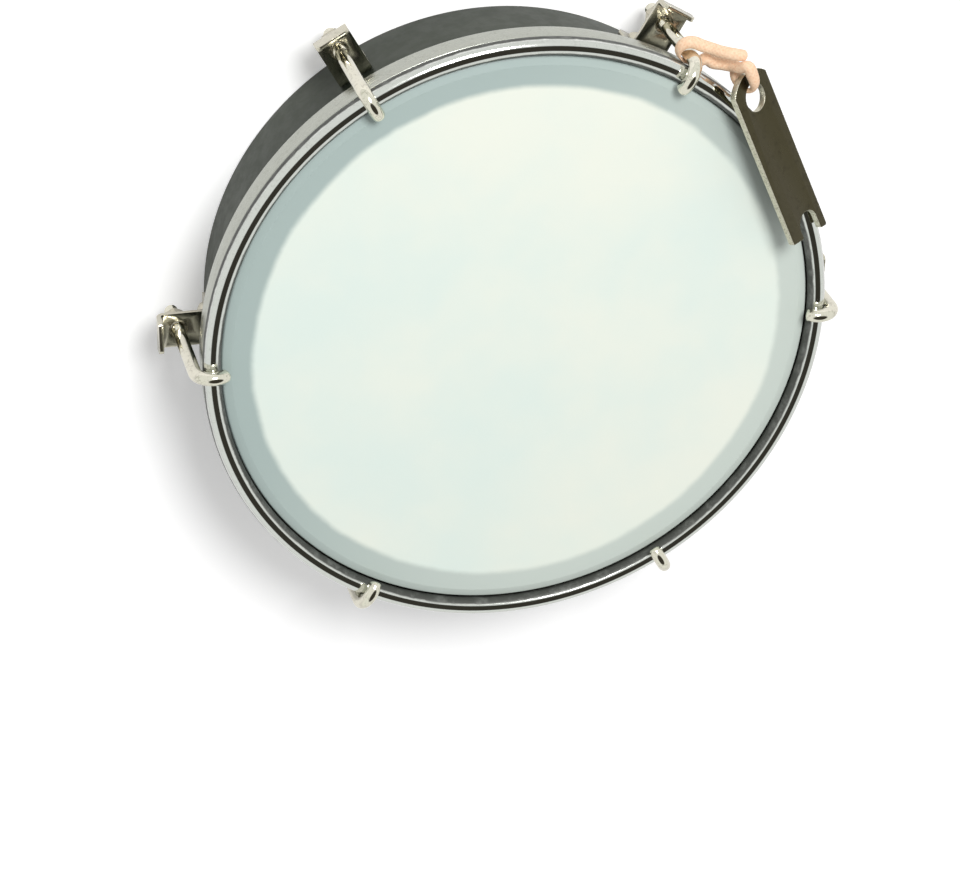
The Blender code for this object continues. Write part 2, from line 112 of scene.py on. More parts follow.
# Painted shade and painted dark reflection beside the hoops' rod: its patchy noise, scale, thinnest
# share, wandering edge and fade.
PAINTED_SHADE_NOISE = Noise(5.0, 0.65, 0.30, 0.55)
PAINTED_SHADE_SCALE = 240.0
PAINTED_SHADE_THINNEST = 0.84
PAINTED_SHADE_EDGE = 24.0  # degrees that the painted shade's edge wanders over
PAINTED_SHADE_FADE = 14.0  # degrees that it fades over
BRAID_TOP, BRAID_FLOOR = 0.35, -0.3  # where the painted shade between yarns begins, and where it is darkest


def colour(red: float, green: float, blue: float) -> Colour:
    """A colour given as it looks, in steps of 255, on the shader's own scale."""
    return tuple((step / 255) ** 2.2 for step in (red, green, blue)) + (1.0,)


WHITE = colour(255, 255, 255)


def grey(level: float) -> Colour:
    """A grey on the shader's own scale."""
    return (level, level, level, 1.0)


def even(value: float) -> Triple:
    """The same value along X, Y and Z."""
    return (value, value, value)


def polar(azimuth: float, radius: float, height: float) -> Vector:
    """The point at an azimuth, a distance from the drum's axis and a height."""
    angle = math.radians(azimuth)
    return Vector((radius * math.cos(angle), radius * math.sin(angle), height))


def arc(centre: Sequence[float], radius: float, first: float, last: float,
        steps: int = ARC_STEPS) -> list[Vector]:
    """Points along a flat arc.

    Args:
        centre: The arc's centre.
        radius: Its radius.
        first: The angle that it starts at, in degrees.
        last: The angle that it ends at.
        steps: How many straight runs make it.

    Returns:
        The points, both ends included.
    """
    angles = [math.radians(first + (last - first) * step / steps) for step in range(steps + 1)]
    middle = Vector(centre)
    return [middle + radius * Vector((math.cos(angle), math.sin(angle))) for angle in angles]


def rounded(corners: Sequence[Triple], steps: int = ARC_STEPS) -> list[Vector]:
    """The points of a flat outline.

    Args:
        corners: The corners as (x, y, radius).
        steps: How many straight runs round each corner.

    Returns:
        The outline's points, in the corners' order.
    """
    points = []
    for index, (x, y, radius) in enumerate(corners):
        corner = Vector((x, y))
        if radius == 0:
            points.append(corner)
            continue
        before = (Vector(corners[index - 1][:2]) - corner).normalized()
        after = (Vector(corners[(index + 1) % len(corners)][:2]) - corner).normalized()
        half = before.angle(after) / 2
        centre = corner + (before + after).normalized() * radius / math.sin(half)
        start = corner + before * radius / math.tan(half) - centre
        side = 1 if before.cross(after) < 0 else -1
        for step in range(steps + 1):
            turn = side * (math.pi - 2 * half) * step / steps
            points.append(centre + Matrix.Rotation(turn, 2) @ start)
    return points


def sheet_outline(middle: Sequence[Vector], thickness: float) -> list[Vector]:
    """The closed outline of a sheet with rounded edges.

    Args:
        middle: The points along the middle of the sheet.
        thickness: The sheet's thickness.

    Returns:
        The outline's points, one side out and the other back.
    """
    half = thickness / 2
    sides: list[Vector] = []
    for index, point in enumerate(middle):
        along = middle[min(index + 1, len(middle) - 1)] - middle[max(index - 1, 0)]
        sides.append(half * Vector((-along.y, along.x)).normalized())
    out = [point + side for point, side in zip(middle, sides)]
    back = [point - side for point, side in zip(middle, sides)]

    def end(centre: Vector, start: Vector) -> list[Vector]:
        """The half round at one end of the sheet, without its two ends."""
        return [centre + Matrix.Rotation(-math.pi * step / SHEET_END_STEPS, 2) @ start
                for step in range(1, SHEET_END_STEPS)]

    return [*out, *end(middle[-1], sides[-1]), *reversed(back), *end(middle[0], -sides[0])]


def clockwise(outline: Sequence[Vector]) -> list[Vector]:
    """A closed outline turned so that its outer side runs downwards."""
    area = sum(start.cross(end) for start, end in zip(outline, [*outline[1:], outline[0]]))
    return list(outline) if area < 0 else list(reversed(outline))


class NodeBench:
    """A node tree under construction, with short ways to add and join nodes."""

    def __init__(self, tree: bpy.types.NodeTree) -> None:
        """Take hold of a tree."""
        self.tree = tree

    def feed(self, socket: Socket, value: Feed) -> None:
        """Fill an input.

        Args:
            socket: The input.
            value: Another node's output, or a value of its own.
        """
        if isinstance(value, Socket):
            self.tree.links.new(value, socket)
        else:
            socket.default_value = value

    def add(self, kind: str, settings: dict[str, object] | None = None,
            **inputs: Feed) -> bpy.types.Node:
        """Add a node.

        Args:
            kind: Blender's name for the node's type.
            settings: The node's own properties.
            inputs: Values for its inputs, by name with _ for a space.

        Returns:
            The node.
        """
        node = self.tree.nodes.new(kind)
        for name, value in (settings or {}).items():
            setattr(node, name, value)
        for name, value in inputs.items():
            self.feed(node.inputs[name.replace("_", " ")], value)
        return node

    def work(self, kind: str, operation: str, values: Sequence[Feed]) -> bpy.types.Node:
        """Add a node that works on its first inputs.

        Args:
            kind: Blender's name for the node's type.
            operation: What it does with them.
            values: Their values, in order.

        Returns:
            The node.
        """
        node = self.add(kind, {"operation": operation})
        for socket, value in zip(node.inputs, values):
            self.feed(socket, value)
        return node

    def math(self, operation: str, *values: Feed) -> Socket:
        """A Math node's result, from one, two or three values."""
        return self.work("ShaderNodeMath", operation, values).outputs[0]

    def product(self, *values: Feed) -> Socket:
        """The product of two or more values."""
        return reduce(lambda first, second: self.math("MULTIPLY", first, second), values)

    def vector(self, x: Feed = 0.0, y: Feed = 0.0, z: Feed = 0.0) -> Socket:
        """A vector from three values."""
        return self.add("ShaderNodeCombineXYZ", X=x, Y=y, Z=z).outputs[0]

    def parts(self, vector: Socket) -> tuple[Socket, Socket, Socket]:
        """The three values of a vector."""
        outputs = self.add("ShaderNodeSeparateXYZ", Vector=vector).outputs
        return outputs[0], outputs[1], outputs[2]

    def fade(self, value: Socket, start: float, end: float, low: float = 0.0) -> Socket:
        """A value that goes smoothly up to 1.

        Args:
            value: What it follows.
            start: Where it begins to rise.
            end: Where it reaches 1.
            low: What it rises from.

        Returns:
            The value.
        """
        node = self.add("ShaderNodeMapRange", {"interpolation_type": "SMOOTHSTEP"}, Value=value)
        for name, number in (("From Min", start), ("From Max", end), ("To Min", low)):
            node.inputs[name].default_value = number
        return node.outputs[0]

    def mix(self, share: Feed, first: Feed, second: Feed) -> Socket:
        """A colour between two.

        Args:
            share: How much of the second colour it has.
            first: One colour.
            second: The other.

        Returns:
            The colour.
        """
        node = self.add("ShaderNodeMix", {"data_type": "RGBA"})
        for index, value in zip(COLOUR_MIX_INPUTS, (share, first, second)):
            self.feed(node.inputs[index], value)
        return node.outputs[COLOUR_MIX_OUTPUT]

    def object_place(self) -> Socket:
        """Each point's place in the object's own frame."""
        return self.add("ShaderNodeTexCoord").outputs["Object"]

    def from_axis(self, place: Socket) -> tuple[Socket, Socket, Socket]:
        """A place as it lies to the drum's axis.

        Args:
            place: The place.

        Returns:
            Its angle round the axis in radians, its distance from the axis and its height.
        """
        x, y, z = self.parts(place)
        square = self.math("ADD", self.product(x, x), self.product(y, y))
        return self.math("ARCTAN2", y, x), self.math("SQRT", square), z

    def noise(self, spec: Noise, place: Socket, scale: Feed = 1.0,
              low: float = 0.0) -> tuple[Socket, Socket]:
        """A noise texture.

        Args:
            spec: The noise.
            place: The place that it is read at.
            scale: How fine it is.
            low: What its faded value rises from.

        Returns:
            The noise as it is, and faded up to 1.
        """
        raw = self.add("ShaderNodeTexNoise", Vector=place, Scale=scale, Detail=spec.detail,
                       Roughness=spec.roughness).outputs["Fac"]
        return raw, self.fade(raw, spec.start, spec.end, low)


class GroupBench(NodeBench):
    """A new node group under construction, with named inputs."""

    def __init__(self, name: str, kind: str) -> None:
        """Start a group, with Blender's name for its kind."""
        super().__init__(bpy.data.node_groups.new(name, kind))
        self.entry = self.add("NodeGroupInput")

    def input(self, name: str, kind: str = "NodeSocketFloat") -> Socket:
        """A named input of the group."""
        self.tree.interface.new_socket(name, in_out="INPUT", socket_type=kind)
        return self.entry.outputs[name]


class GeometryTree(GroupBench):
    """A Geometry Nodes tree with named inputs, ended by Realize Instances and Set Material."""

    def __init__(self, name: str) -> None:
        """Start a tree that takes the object's own mesh.

        Args:
            name: The tree's name.
        """
        super().__init__(name, "GeometryNodeTree")
        self.tree.is_modifier = True
        self.form = self.input("Geometry", "NodeSocketGeometry")
        self.tree.interface.new_socket("Geometry", in_out="OUTPUT",
                                       socket_type="NodeSocketGeometry")
        self.material = self.input("Material", "NodeSocketMaterial")

    def finish(self, geometry: Socket) -> None:
        """End the tree with real geometry in its material.

        Args:
            geometry: What the tree has made.
        """
        real = self.add("GeometryNodeRealizeInstances", Geometry=geometry).outputs[0]
        dressed = self.add("GeometryNodeSetMaterial", Geometry=real, Material=self.material)
        self.add("NodeGroupOutput", Geometry=dressed.outputs[0])

    def apply(self, name: str, mesh: bpy.types.Mesh, **values: object) -> bpy.types.Object:
        """Run the tree on a mesh.

        Args:
            name: The finished piece's name.
            mesh: The mesh that the tree starts from.
            values: The tree's inputs, by name with _ for a space.

        Returns:
            A plain object with the finished mesh.
        """
        body = linked(name + "_form", mesh)
        modifier = body.modifiers.new("form", "NODES")
        modifier.node_group = self.tree
        for item in self.tree.interface.items_tree:
            key = item.name.replace(" ", "_")
            if item.in_out == "INPUT" and key in values:
                modifier[item.identifier] = values[key]
        return plain(name, body)


def linked(name: str, data: bpy.types.ID | None) -> bpy.types.Object:
    """A new object in the scene.

    Args:
        name: Its name.
        data: Its mesh, curve, lamp or camera.

    Returns:
        The object.
    """
    made = bpy.data.objects.new(name, data)
    bpy.context.scene.collection.objects.link(made)
    return made


def smooth(mesh: bpy.types.Mesh, sharp: float = SHARP_ANGLE) -> None:
    """Shade a mesh smoothly, apart from edges of a sharp angle in degrees and more."""
    mesh.shade_smooth()
    mesh.set_sharp_from_angle(angle=math.radians(sharp))


def plain(name: str, body: bpy.types.Object, sharp: float = SHARP_ANGLE) -> bpy.types.Object:
    """Turn an object with modifiers into one with a plain mesh.

    Args:
        name: The new object's name.
        body: The object, which is removed.
        sharp: The angle between faces, in degrees, from which an edge stays sharp.

    Returns:
        The new object, smoothly shaded.
    """
    depsgraph = bpy.context.evaluated_depsgraph_get()
    mesh = bpy.data.meshes.new_from_object(body.evaluated_get(depsgraph))
    bpy.data.objects.remove(body)
    mesh.name = name
    smooth(mesh, sharp)
    return linked(name, mesh)


def drawn(name: str, spots: Sequence[Sequence[float]], edges: Sequence[tuple[int, int]] = (),
          faces: Sequence[Sequence[int]] = ()) -> bpy.types.Mesh:
    """A mesh from plain lists.

    Args:
        name: The mesh's name.
        spots: Its points.
        edges: The numbers of the points that each edge joins.
        faces: The numbers of the points round each face.

    Returns:
        The mesh.
    """
    mesh = bpy.data.meshes.new(name)
    mesh.from_pydata(spots, edges, faces)
    return mesh


def line_mesh(points: Sequence[Vector], closed: bool = False) -> bpy.types.Mesh:
    """A mesh of one line of edges.

    Args:
        points: The line's points. Flat ones lie in the XZ plane.
        closed: Whether the last point joins the first.

    Returns:
        The mesh.
    """
    spots = [(point.x, 0, point.y) if len(point) == 2 else tuple(point) for point in points]
    count = len(spots)
    edges = [(index, (index + 1) % count) for index in range(count if closed else count - 1)]
    return drawn("line", spots, edges)


def capped(name: str, shape: Callable[..., object], **values: object) -> bpy.types.Mesh:
    """A mesh of one of bmesh's own shapes, with its ends closed.

    Args:
        name: The mesh's name.
        shape: The operator that makes the shape.
        values: What the operator is given.

    Returns:
        The mesh.
    """
    made = bmesh.new()
    shape(made, cap_ends=True, **values)
    mesh = bpy.data.meshes.new(name)
    made.to_mesh(mesh)
    made.free()
    return mesh


def modify(body: bpy.types.Object, name: str, kind: str, **settings: object) -> None:
    """Add a modifier.

    Args:
        body: The object that it works on.
        name: The modifier's name.
        kind: Blender's name for its type.
        settings: Its own properties.
    """
    modifier = body.modifiers.new(name, kind)
    for key, value in settings.items():
        setattr(modifier, key, value)


def dress(piece: bpy.types.Object, material: bpy.types.Material) -> bpy.types.Object:
    """Give a piece one material.

    Args:
        piece: The piece.
        material: Its only material from now on.

    Returns:
        The piece.
    """
    piece.data.materials.clear()
    piece.data.materials.append(material)
    return piece


def settle(piece: bpy.types.Object, body: str, nodes: Sequence[str]) -> None:
    """Let a piece stand in for nodes of the model.

    Args:
        piece: The piece.
        body: The body that it rides on.
        nodes: The nodes that it takes the place of.
    """
    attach(piece, body)
    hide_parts(*nodes)
    report(piece)


def report(piece: bpy.types.Object) -> None:
    """Log a finished piece and how fine its mesh is."""
    LOG.info("%s: %d faces", piece.name, len(piece.data.polygons))


def turned_tree() -> GeometryTree:
    """A tree that turns a section, drawn in the XZ plane, about the drum's axis.

    Returns:
        The tree.
    """
    tree = GeometryTree("turned_section")
    path_radius = tree.input("Path Radius")
    segments = tree.input("Segments", "NodeSocketInt")
    circle = tree.add("GeometryNodeCurvePrimitiveCircle", Resolution=segments, Radius=path_radius)
    level = tree.add("GeometryNodeSetCurveNormal", {"mode": "Z_UP"}, Curve=circle.outputs[0])
    section = tree.add("GeometryNodeMeshToCurve", Mesh=tree.form)
    back = tree.product(path_radius, -1.0)
    laid = tree.add("GeometryNodeTransform", Geometry=section.outputs[0],
                    Translation=tree.vector(back), Rotation=(math.pi / 2, 0, 0))
    swept = tree.add("GeometryNodeCurveToMesh", Curve=level.outputs[0],
                     Profile_Curve=laid.outputs[0])
    merged = tree.add("GeometryNodeMergeByDistance", Geometry=swept.outputs[0],
                      Distance=MERGE_DISTANCE)
    tree.finish(merged.outputs[0])
    return tree


def round_drum_tree() -> GeometryTree:
    """A tree that sets copies of a mesh round the drum, each turned to face outwards.

    Returns:
        The tree.
    """
    tree = GeometryTree("round_the_drum")
    count = tree.input("Count", "NodeSocketInt")
    first = tree.input("First Azimuth")
    radius = tree.input("Radius")
    height = tree.input("Height")
    index = tree.add("GeometryNodeInputIndex").outputs[0]
    angle = tree.math("MULTIPLY_ADD", tree.math("DIVIDE", index, count), math.tau, first)
    place = tree.vector(tree.product(radius, tree.math("COSINE", angle)),
                        tree.product(radius, tree.math("SINE", angle)), height)
    points = tree.add("GeometryNodePoints", Count=count, Position=place)
    copies = tree.add("GeometryNodeInstanceOnPoints", Points=points.outputs[0],
                      Instance=tree.form, Rotation=tree.vector(z=angle))
    tree.finish(copies.outputs[0])
    return tree


def threaded_rod_tree() -> GeometryTree:
    """A tree that runs a round rod along a line and cuts a thread into its straight end.

    The rod's straight end lies on Z. The line's points carry their share of the rod's thickness.

    Returns:
        The tree.
    """
    tree = GeometryTree("threaded_rod")
    diameter = tree.input("Diameter")
    sides = tree.input("Sides", "NodeSocketInt")
    pitch = tree.input("Pitch")
    depth = tree.input("Thread Depth")
    top = tree.input("Thread Top")
    azimuth = tree.input("Azimuth")
    radius = tree.input("Radius")
    share = tree.add("GeometryNodeInputNamedAttribute", {"data_type": "FLOAT"}, Name="share")
    line = tree.add("GeometryNodeMeshToCurve", Mesh=tree.form)
    section = tree.add("GeometryNodeCurvePrimitiveCircle", Resolution=sides,
                       Radius=tree.product(diameter, 0.5))
    rod = tree.add("GeometryNodeCurveToMesh", Curve=line.outputs[0],
                   Profile_Curve=section.outputs[0], Scale=share.outputs[0], Fill_Caps=True)
    place = tree.add("GeometryNodeInputPosition").outputs[0]
    x, y, _ = tree.parts(place)
    turn, out, z = tree.from_axis(place)
    turns = tree.math("DIVIDE", turn, math.tau)
    phase = tree.math("FRACT", tree.math("SUBTRACT", tree.math("DIVIDE", z, pitch), turns))
    ridge = tree.math("ABSOLUTE", tree.math("MULTIPLY_ADD", phase, 2.0, -1.0))
    below = tree.math("DIVIDE", tree.math("SUBTRACT", top, z), pitch)
    threaded = tree.math("MINIMUM", tree.math("MAXIMUM", below, 0.0), 1.0)
    groove = tree.product(ridge, threaded, depth)
    inwards = tree.product(
        tree.math("DIVIDE", groove, tree.math("MAXIMUM", out, MERGE_DISTANCE)), -1.0)
    cut = tree.add("GeometryNodeSetPosition", Geometry=rod.outputs[0],
                   Offset=tree.vector(tree.product(x, inwards), tree.product(y, inwards)))
    moved = tree.add("GeometryNodeTransform", Geometry=cut.outputs[0],
                     Translation=tree.vector(radius))
    placed = tree.add("GeometryNodeTransform", Geometry=moved.outputs[0],
                      Rotation=tree.vector(z=azimuth))
    tree.finish(placed.outputs[0])
    return tree


class ShaderGroup(GroupBench):
    """A shader node group under construction."""

    def __init__(self, name: str) -> None:
        """Start an empty group."""
        super().__init__(name, "ShaderNodeTree")
        self.exit = self.add("NodeGroupOutput")

    def output(self, name: str, value: Socket) -> None:
        """A named output of the group."""
        self.tree.interface.new_socket(name, in_out="OUTPUT", socket_type="NodeSocketFloat")
        self.feed(self.exit.inputs[name], value)


def grain_group(name: str, rim: float = 0.0) -> bpy.types.NodeTree:
    """Fine uneven grain, as a value between two levels and a height.

    Args:
        name: The group's name.
        rim: The radius that the grain runs round the drum's axis at, or 0 for plain X, Y and Z.

    Returns:
        The group.
    """
    group = ShaderGroup(name)
    place = group.object_place()
    stretch = group.input("Stretch", "NodeSocketVector")
    low = group.input("Low")
    high = group.input("High")
    if rim:
        turn, radius, height = group.from_axis(place)
        place = group.vector(group.product(turn, rim), radius, height)
    scaled = group.work("ShaderNodeVectorMath", "MULTIPLY", (place, stretch)).outputs[0]
    noise, level = group.noise(GRAIN, scaled)
    span = group.math("SUBTRACT", high, low)
    group.output("Value", group.math("MULTIPLY_ADD", level, span, low))
    group.output("Height", noise)
    return group.tree


def speckle_group() -> bpy.types.NodeTree:
    """Small dark stains scattered over a plated surface.

    Returns:
        The group.
    """
    group = ShaderGroup("plating_stains")
    place = group.object_place()
    scale = group.input("Scale")
    amount = group.input("Amount")
    _, patches = group.noise(STAIN_PATCHES, place, scale)
    _, dots = group.noise(STAIN_DOTS, place, group.product(scale, STAIN_DOT_FINENESS))
    group.output("Stain", group.product(patches, dots, amount))
    return group.tree


def painted_groove_shade_group() -> bpy.types.NodeTree:
    """Painted shade and dark reflection by a ring, by the angle round the ring's own section.

    The angle is 0 degrees outwards and 90 upwards. The painted shade lies about a middle angle, as
    far as its reach to either side.

    Returns:
        The group.
    """
    group = ShaderGroup("groove_grime")
    place = group.object_place()
    ring, level = group.input("Ring Radius"), group.input("Ring Height")
    middle, reach = group.input("Middle Angle"), group.input("Reach")
    amount = group.input("Amount")
    _, radius, height = group.from_axis(place)
    around = group.math("ARCTAN2", group.math("SUBTRACT", height, level),
                        group.math("SUBTRACT", radius, ring))
    noise, patchy = group.noise(PAINTED_SHADE_NOISE, place, PAINTED_SHADE_SCALE, PAINTED_SHADE_THINNEST)
    apart = group.math("SUBTRACT", group.product(around, math.degrees(1.0)), middle)
    away = group.math("ABSOLUTE", group.math("WRAP", apart, 180.0, -180.0))
    edge = group.math("MULTIPLY_ADD", noise, PAINTED_SHADE_EDGE, -PAINTED_SHADE_EDGE / 2)
    depth = group.math("SUBTRACT", reach, group.math("ADD", away, edge))
    group.output("Grime", group.product(patchy, amount, group.fade(depth, 0.0, PAINTED_SHADE_FADE)))
    return group.tree


def braid_group() -> bpy.types.NodeTree:
    """The braid of a cord, on its own UV map: across it once round, along it by its girth.

    Returns:
        The group.
    """
    group = ShaderGroup("cord_braid")
    strands = group.input("Strands")
    across, along, _ = group.parts(group.add("ShaderNodeUVMap", {"uv_map": "braid"}).outputs[0])
    waves = []
    for sign in (1.0, -1.0):
        lean = group.math("MULTIPLY_ADD", along, sign, across)
        waves.append(group.math("SINE", group.product(lean, strands, math.tau)))
    yarn = group.math("MAXIMUM", *waves)
    group.output("Height", yarn)
    # The creases between yarns, where shade is painted.
    group.output("PaintedGrooveShade", group.fade(yarn, BRAID_TOP, BRAID_FLOOR))
    return group.tree


class Workshop:
    """The shader groups that the finishes share."""

    def __init__(self) -> None:
        """Build each group once."""
        self.grain = grain_group("surface_grain")
        self.rim_grain = grain_group("grain_round_the_rim", RIM_RADIUS)
        self.speckle = speckle_group()
        self.painted_shade = painted_groove_shade_group()
        self.braid = braid_group()


class MaterialBench(NodeBench):
    """A material under construction, round its Principled shader."""

    def __init__(self, name: str, **values: Feed) -> None:
        """Start a material.

        Args:
            name: The material's name.
            values: What the shader is given, by name with _ for a space.
        """
        self.material = bpy.data.materials.new(name)
        self.material.use_nodes = True
        super().__init__(self.material.node_tree)
        self.shader = self.tree.nodes["Principled BSDF"]
        self.give(**values)

    def give(self, **values: Feed) -> None:
        """Feed the shader's inputs, by name with _ for a space."""
        for name, value in values.items():
            self.feed(self.shader.inputs[name.replace("_", " ")], value)

    def group(self, tree: bpy.types.NodeTree, **inputs: Feed) -> Outputs:
        """What a shared group puts out for its inputs."""
        return self.add("ShaderNodeGroup", {"node_tree": tree}, **inputs).outputs

    def bump(self, height: Socket, distance: float) -> None:
        """Let a height raise the surface by up to a distance."""
        raised = self.add("ShaderNodeBump", Height=height, Strength=1.0, Distance=distance)
        self.give(Normal=raised.outputs[0])


@dataclass(frozen=True)
class PaintedGrooveShade:
    """Where shade and dark reflection are painted by a ring, by the angle round the ring's own
    section.
    """

    ring_radius: float
    ring_height: float
    middle: float
    reach: float
    amount: float
    tone: Colour
    roughens: float = 0.4
    dulls: float = 0.8


@dataclass(frozen=True)
class Metal:
    """A plated or polished metal, whose grain runs round the rim where it has painted groove shade.
    """

    name: str
    tone: Colour
    stain: Colour
    smooth: float
    rough: float
    stretch: Triple
    relief: float
    stain_scale: float
    stain_amount: float
    # Where shade and dark reflection are painted beside a ring, if anywhere.
    groove: PaintedGrooveShade | None = None
    stain_roughens: float = 0.25

    def make(self, shop: Workshop) -> bpy.types.Material:
        """Make the metal.

        Args:
            shop: The shared groups.

        Returns:
            The material.
        """
        bench = MaterialBench(self.name, Metallic=1.0)
        grain = bench.group(shop.rim_grain if self.groove else shop.grain, Stretch=self.stretch,
                            Low=self.smooth, High=self.rough)
        stain = bench.group(shop.speckle, Scale=self.stain_scale, Amount=self.stain_amount)["Stain"]
        tone = bench.mix(stain, self.tone, self.stain)
        rough = bench.math("MULTIPLY_ADD", stain, self.stain_roughens, grain["Value"])
        # Painted shade and painted dark reflection: darker, rougher and less metallic beside the
        # ring.
        painted_groove = self.groove
        if painted_groove:
            painted_shade = bench.group(shop.painted_shade, Ring_Radius=painted_groove.ring_radius,
                                Ring_Height=painted_groove.ring_height, Middle_Angle=painted_groove.middle,
                                Reach=painted_groove.reach, Amount=painted_groove.amount)["Grime"]
            tone = bench.mix(painted_shade, tone, painted_groove.tone)
            rough = bench.math("MULTIPLY_ADD", painted_shade, painted_groove.roughens, rough)
            bench.give(Metallic=bench.math("MULTIPLY_ADD", painted_shade, -painted_groove.dulls, 1.0))
        bench.give(Base_Color=tone, Roughness=rough)
        bench.bump(grain["Height"], self.relief)
        return bench.material


@dataclass(frozen=True)
class Paint:
    """The shell's satin grey, with a faint uneven skin."""

    tones: tuple[Colour, Colour] = (colour(54, 59, 50), colour(62, 67, 57))
    metallic: float = 0.25
    specular: float = 0.35
    smooth: float = 0.40
    rough: float = 0.50
    grain_stretch: Triple = even(260.0)
    cloud_stretch: Triple = (30.0, 30.0, 60.0)
    relief: float = 0.00003

    def make(self, shop: Workshop) -> bpy.types.Material:
        """Make the paint.

        Args:
            shop: The shared groups.

        Returns:
            The material.
        """
        bench = MaterialBench("shell_satin_grey", Metallic=self.metallic,
                              Specular_IOR_Level=self.specular)
        grain = bench.group(shop.grain, Stretch=self.grain_stretch, Low=self.smooth,
                            High=self.rough)
        cloud = bench.group(shop.rim_grain, Stretch=self.cloud_stretch, Low=0.0, High=1.0)
        bench.give(Base_Color=bench.mix(cloud["Value"], *self.tones), Roughness=grain["Value"])
        bench.bump(grain["Height"], self.relief)
        return bench.material


@dataclass(frozen=True)
class Film:
    """The head's film: whitened in the middle, clearer and bluer in a ring at its edge.

    The ring is darkest at one azimuth and fades with the angle from there, in radians.
    """

    whites: tuple[Colour, Colour] = (colour(227, 241, 233), colour(241, 245, 232))
    rings: tuple[Colour, Colour] = (colour(172, 188, 184), colour(205, 215, 207))
    ring_start: float = 0.0700
    ring_end: float = 0.0722
    dark_azimuth: float = 145.0
    dark_until: float = 0.8
    pale_from: float = 2.4
    wobble: float = 0.0003
    wobble_stretch: Triple = even(60.0)
    cloud_stretch: Triple = even(14.0)
    haze_stretch: Triple = even(900.0)
    smooth: float = 0.30
    rough: float = 0.42
    specular: float = 0.45
    relief: float = 0.00001

    def make(self, shop: Workshop) -> bpy.types.Material:
        """Make the film.

        Args:
            shop: The shared groups.

        Returns:
            The material.
        """
        bench = MaterialBench("head_film", Specular_IOR_Level=self.specular)
        turn, radius, _ = bench.from_axis(bench.object_place())
        wobble = bench.group(shop.grain, Stretch=self.wobble_stretch, Low=-self.wobble,
                             High=self.wobble)
        radius = bench.math("ADD", radius, wobble["Value"])
        clouds = bench.group(shop.grain, Stretch=self.cloud_stretch, Low=0.0, High=1.0)
        white = bench.mix(clouds["Value"], *self.whites)
        apart = bench.math("SUBTRACT", turn, math.radians(self.dark_azimuth))
        apart = bench.math("ABSOLUTE", bench.math("WRAP", apart, math.pi, -math.pi))
        ring = bench.mix(bench.fade(apart, self.dark_until, self.pale_from), *self.rings)
        edge = bench.fade(radius, self.ring_start, self.ring_end)
        haze = bench.group(shop.grain, Stretch=self.haze_stretch, Low=self.smooth, High=self.rough)
        bench.give(Base_Color=bench.mix(edge, white, ring), Roughness=haze["Value"])
        bench.bump(haze["Height"], self.relief)
        return bench.material


@dataclass(frozen=True)
class Sheath:
    """The key cord's soft peach braid."""

    yarns: tuple[Colour, Colour] = (colour(244, 202, 166), colour(252, 221, 190))
    # Painted shade in the braid's creases between yarns.
    groove: Colour = colour(206, 140, 104)
    groove_share: float = 0.16
    strands: float = 8.0
    braid_height: float = 0.35
    fuzz_stretch: Triple = even(1500.0)
    roughness: float = 0.8
    specular: float = 0.2
    sheen: float = 0.4
    sheen_roughness: float = 0.5
    sheen_tint: Colour = colour(255, 226, 200)
    relief: float = 0.00004

    def make(self, shop: Workshop) -> bpy.types.Material:
        """Make the braid.

        Args:
            shop: The shared groups.

        Returns:
            The material.
        """
        bench = MaterialBench("cord_braid", Sheen_Weight=self.sheen, Sheen_Tint=self.sheen_tint,
                              Sheen_Roughness=self.sheen_roughness, Roughness=self.roughness,
                              Specular_IOR_Level=self.specular)
        braid = bench.group(shop.braid, Strands=self.strands)
        fuzz = bench.group(shop.grain, Stretch=self.fuzz_stretch, Low=0.0, High=1.0)
        yarn = bench.mix(fuzz["Value"], *self.yarns)
        # Painted shade in the creases between yarns.
        shade = bench.product(braid["PaintedGrooveShade"], self.groove_share)
        bench.give(Base_Color=bench.mix(shade, yarn, self.groove))
        bench.bump(bench.math("MULTIPLY_ADD", braid["Height"], self.braid_height, fuzz["Height"]),
                   self.relief)
        return bench.material


@dataclass(frozen=True)
class Shell:
    """The steel band with both edges turned in."""

    diameter: float = 0.152
    depth: float = 0.042
    wall: float = 0.0015
    corner: float = 0.0008
    bearing_round: float = 0.0005
    bearing_lip: float = 0.0030
    back_lip: float = 0.0040
    inner_round: float = 0.0005
    segments: int = 256

    @property
    def radius(self) -> float:
        """The shell's outer radius."""
        return self.diameter / 2

    def section(self) -> list[Vector]:
        """The band's closed section.

        Returns:
            Its points, as (radius, height).
        """
        inside = self.radius - self.wall
        bearing = self.radius - self.bearing_lip
        back = self.radius - self.back_lip
        return rounded([
            (bearing, self.depth, self.bearing_round),
            (self.radius, self.depth, self.corner),
            (self.radius, 0, self.corner),
            (back, 0, self.inner_round),
            (back, self.wall, self.inner_round),
            (inside, self.wall, self.inner_round),
            (inside, self.depth - self.wall, self.inner_round),
            (bearing, self.depth - self.wall, self.bearing_round),
        ])

    def build(self, turned: GeometryTree, material: bpy.types.Material) -> None:
        """Make the shell and let it ride on the drum.

        Args:
            turned: The tree that turns its section.
            material: Its paint.
        """
        mesh = line_mesh(clockwise(self.section()), closed=True)
        piece = turned.apply("drum_shell", mesh, Path_Radius=self.radius, Segments=self.segments,
                             Material=material)
        settle(piece, Body.DRUM.value, ["shell"])


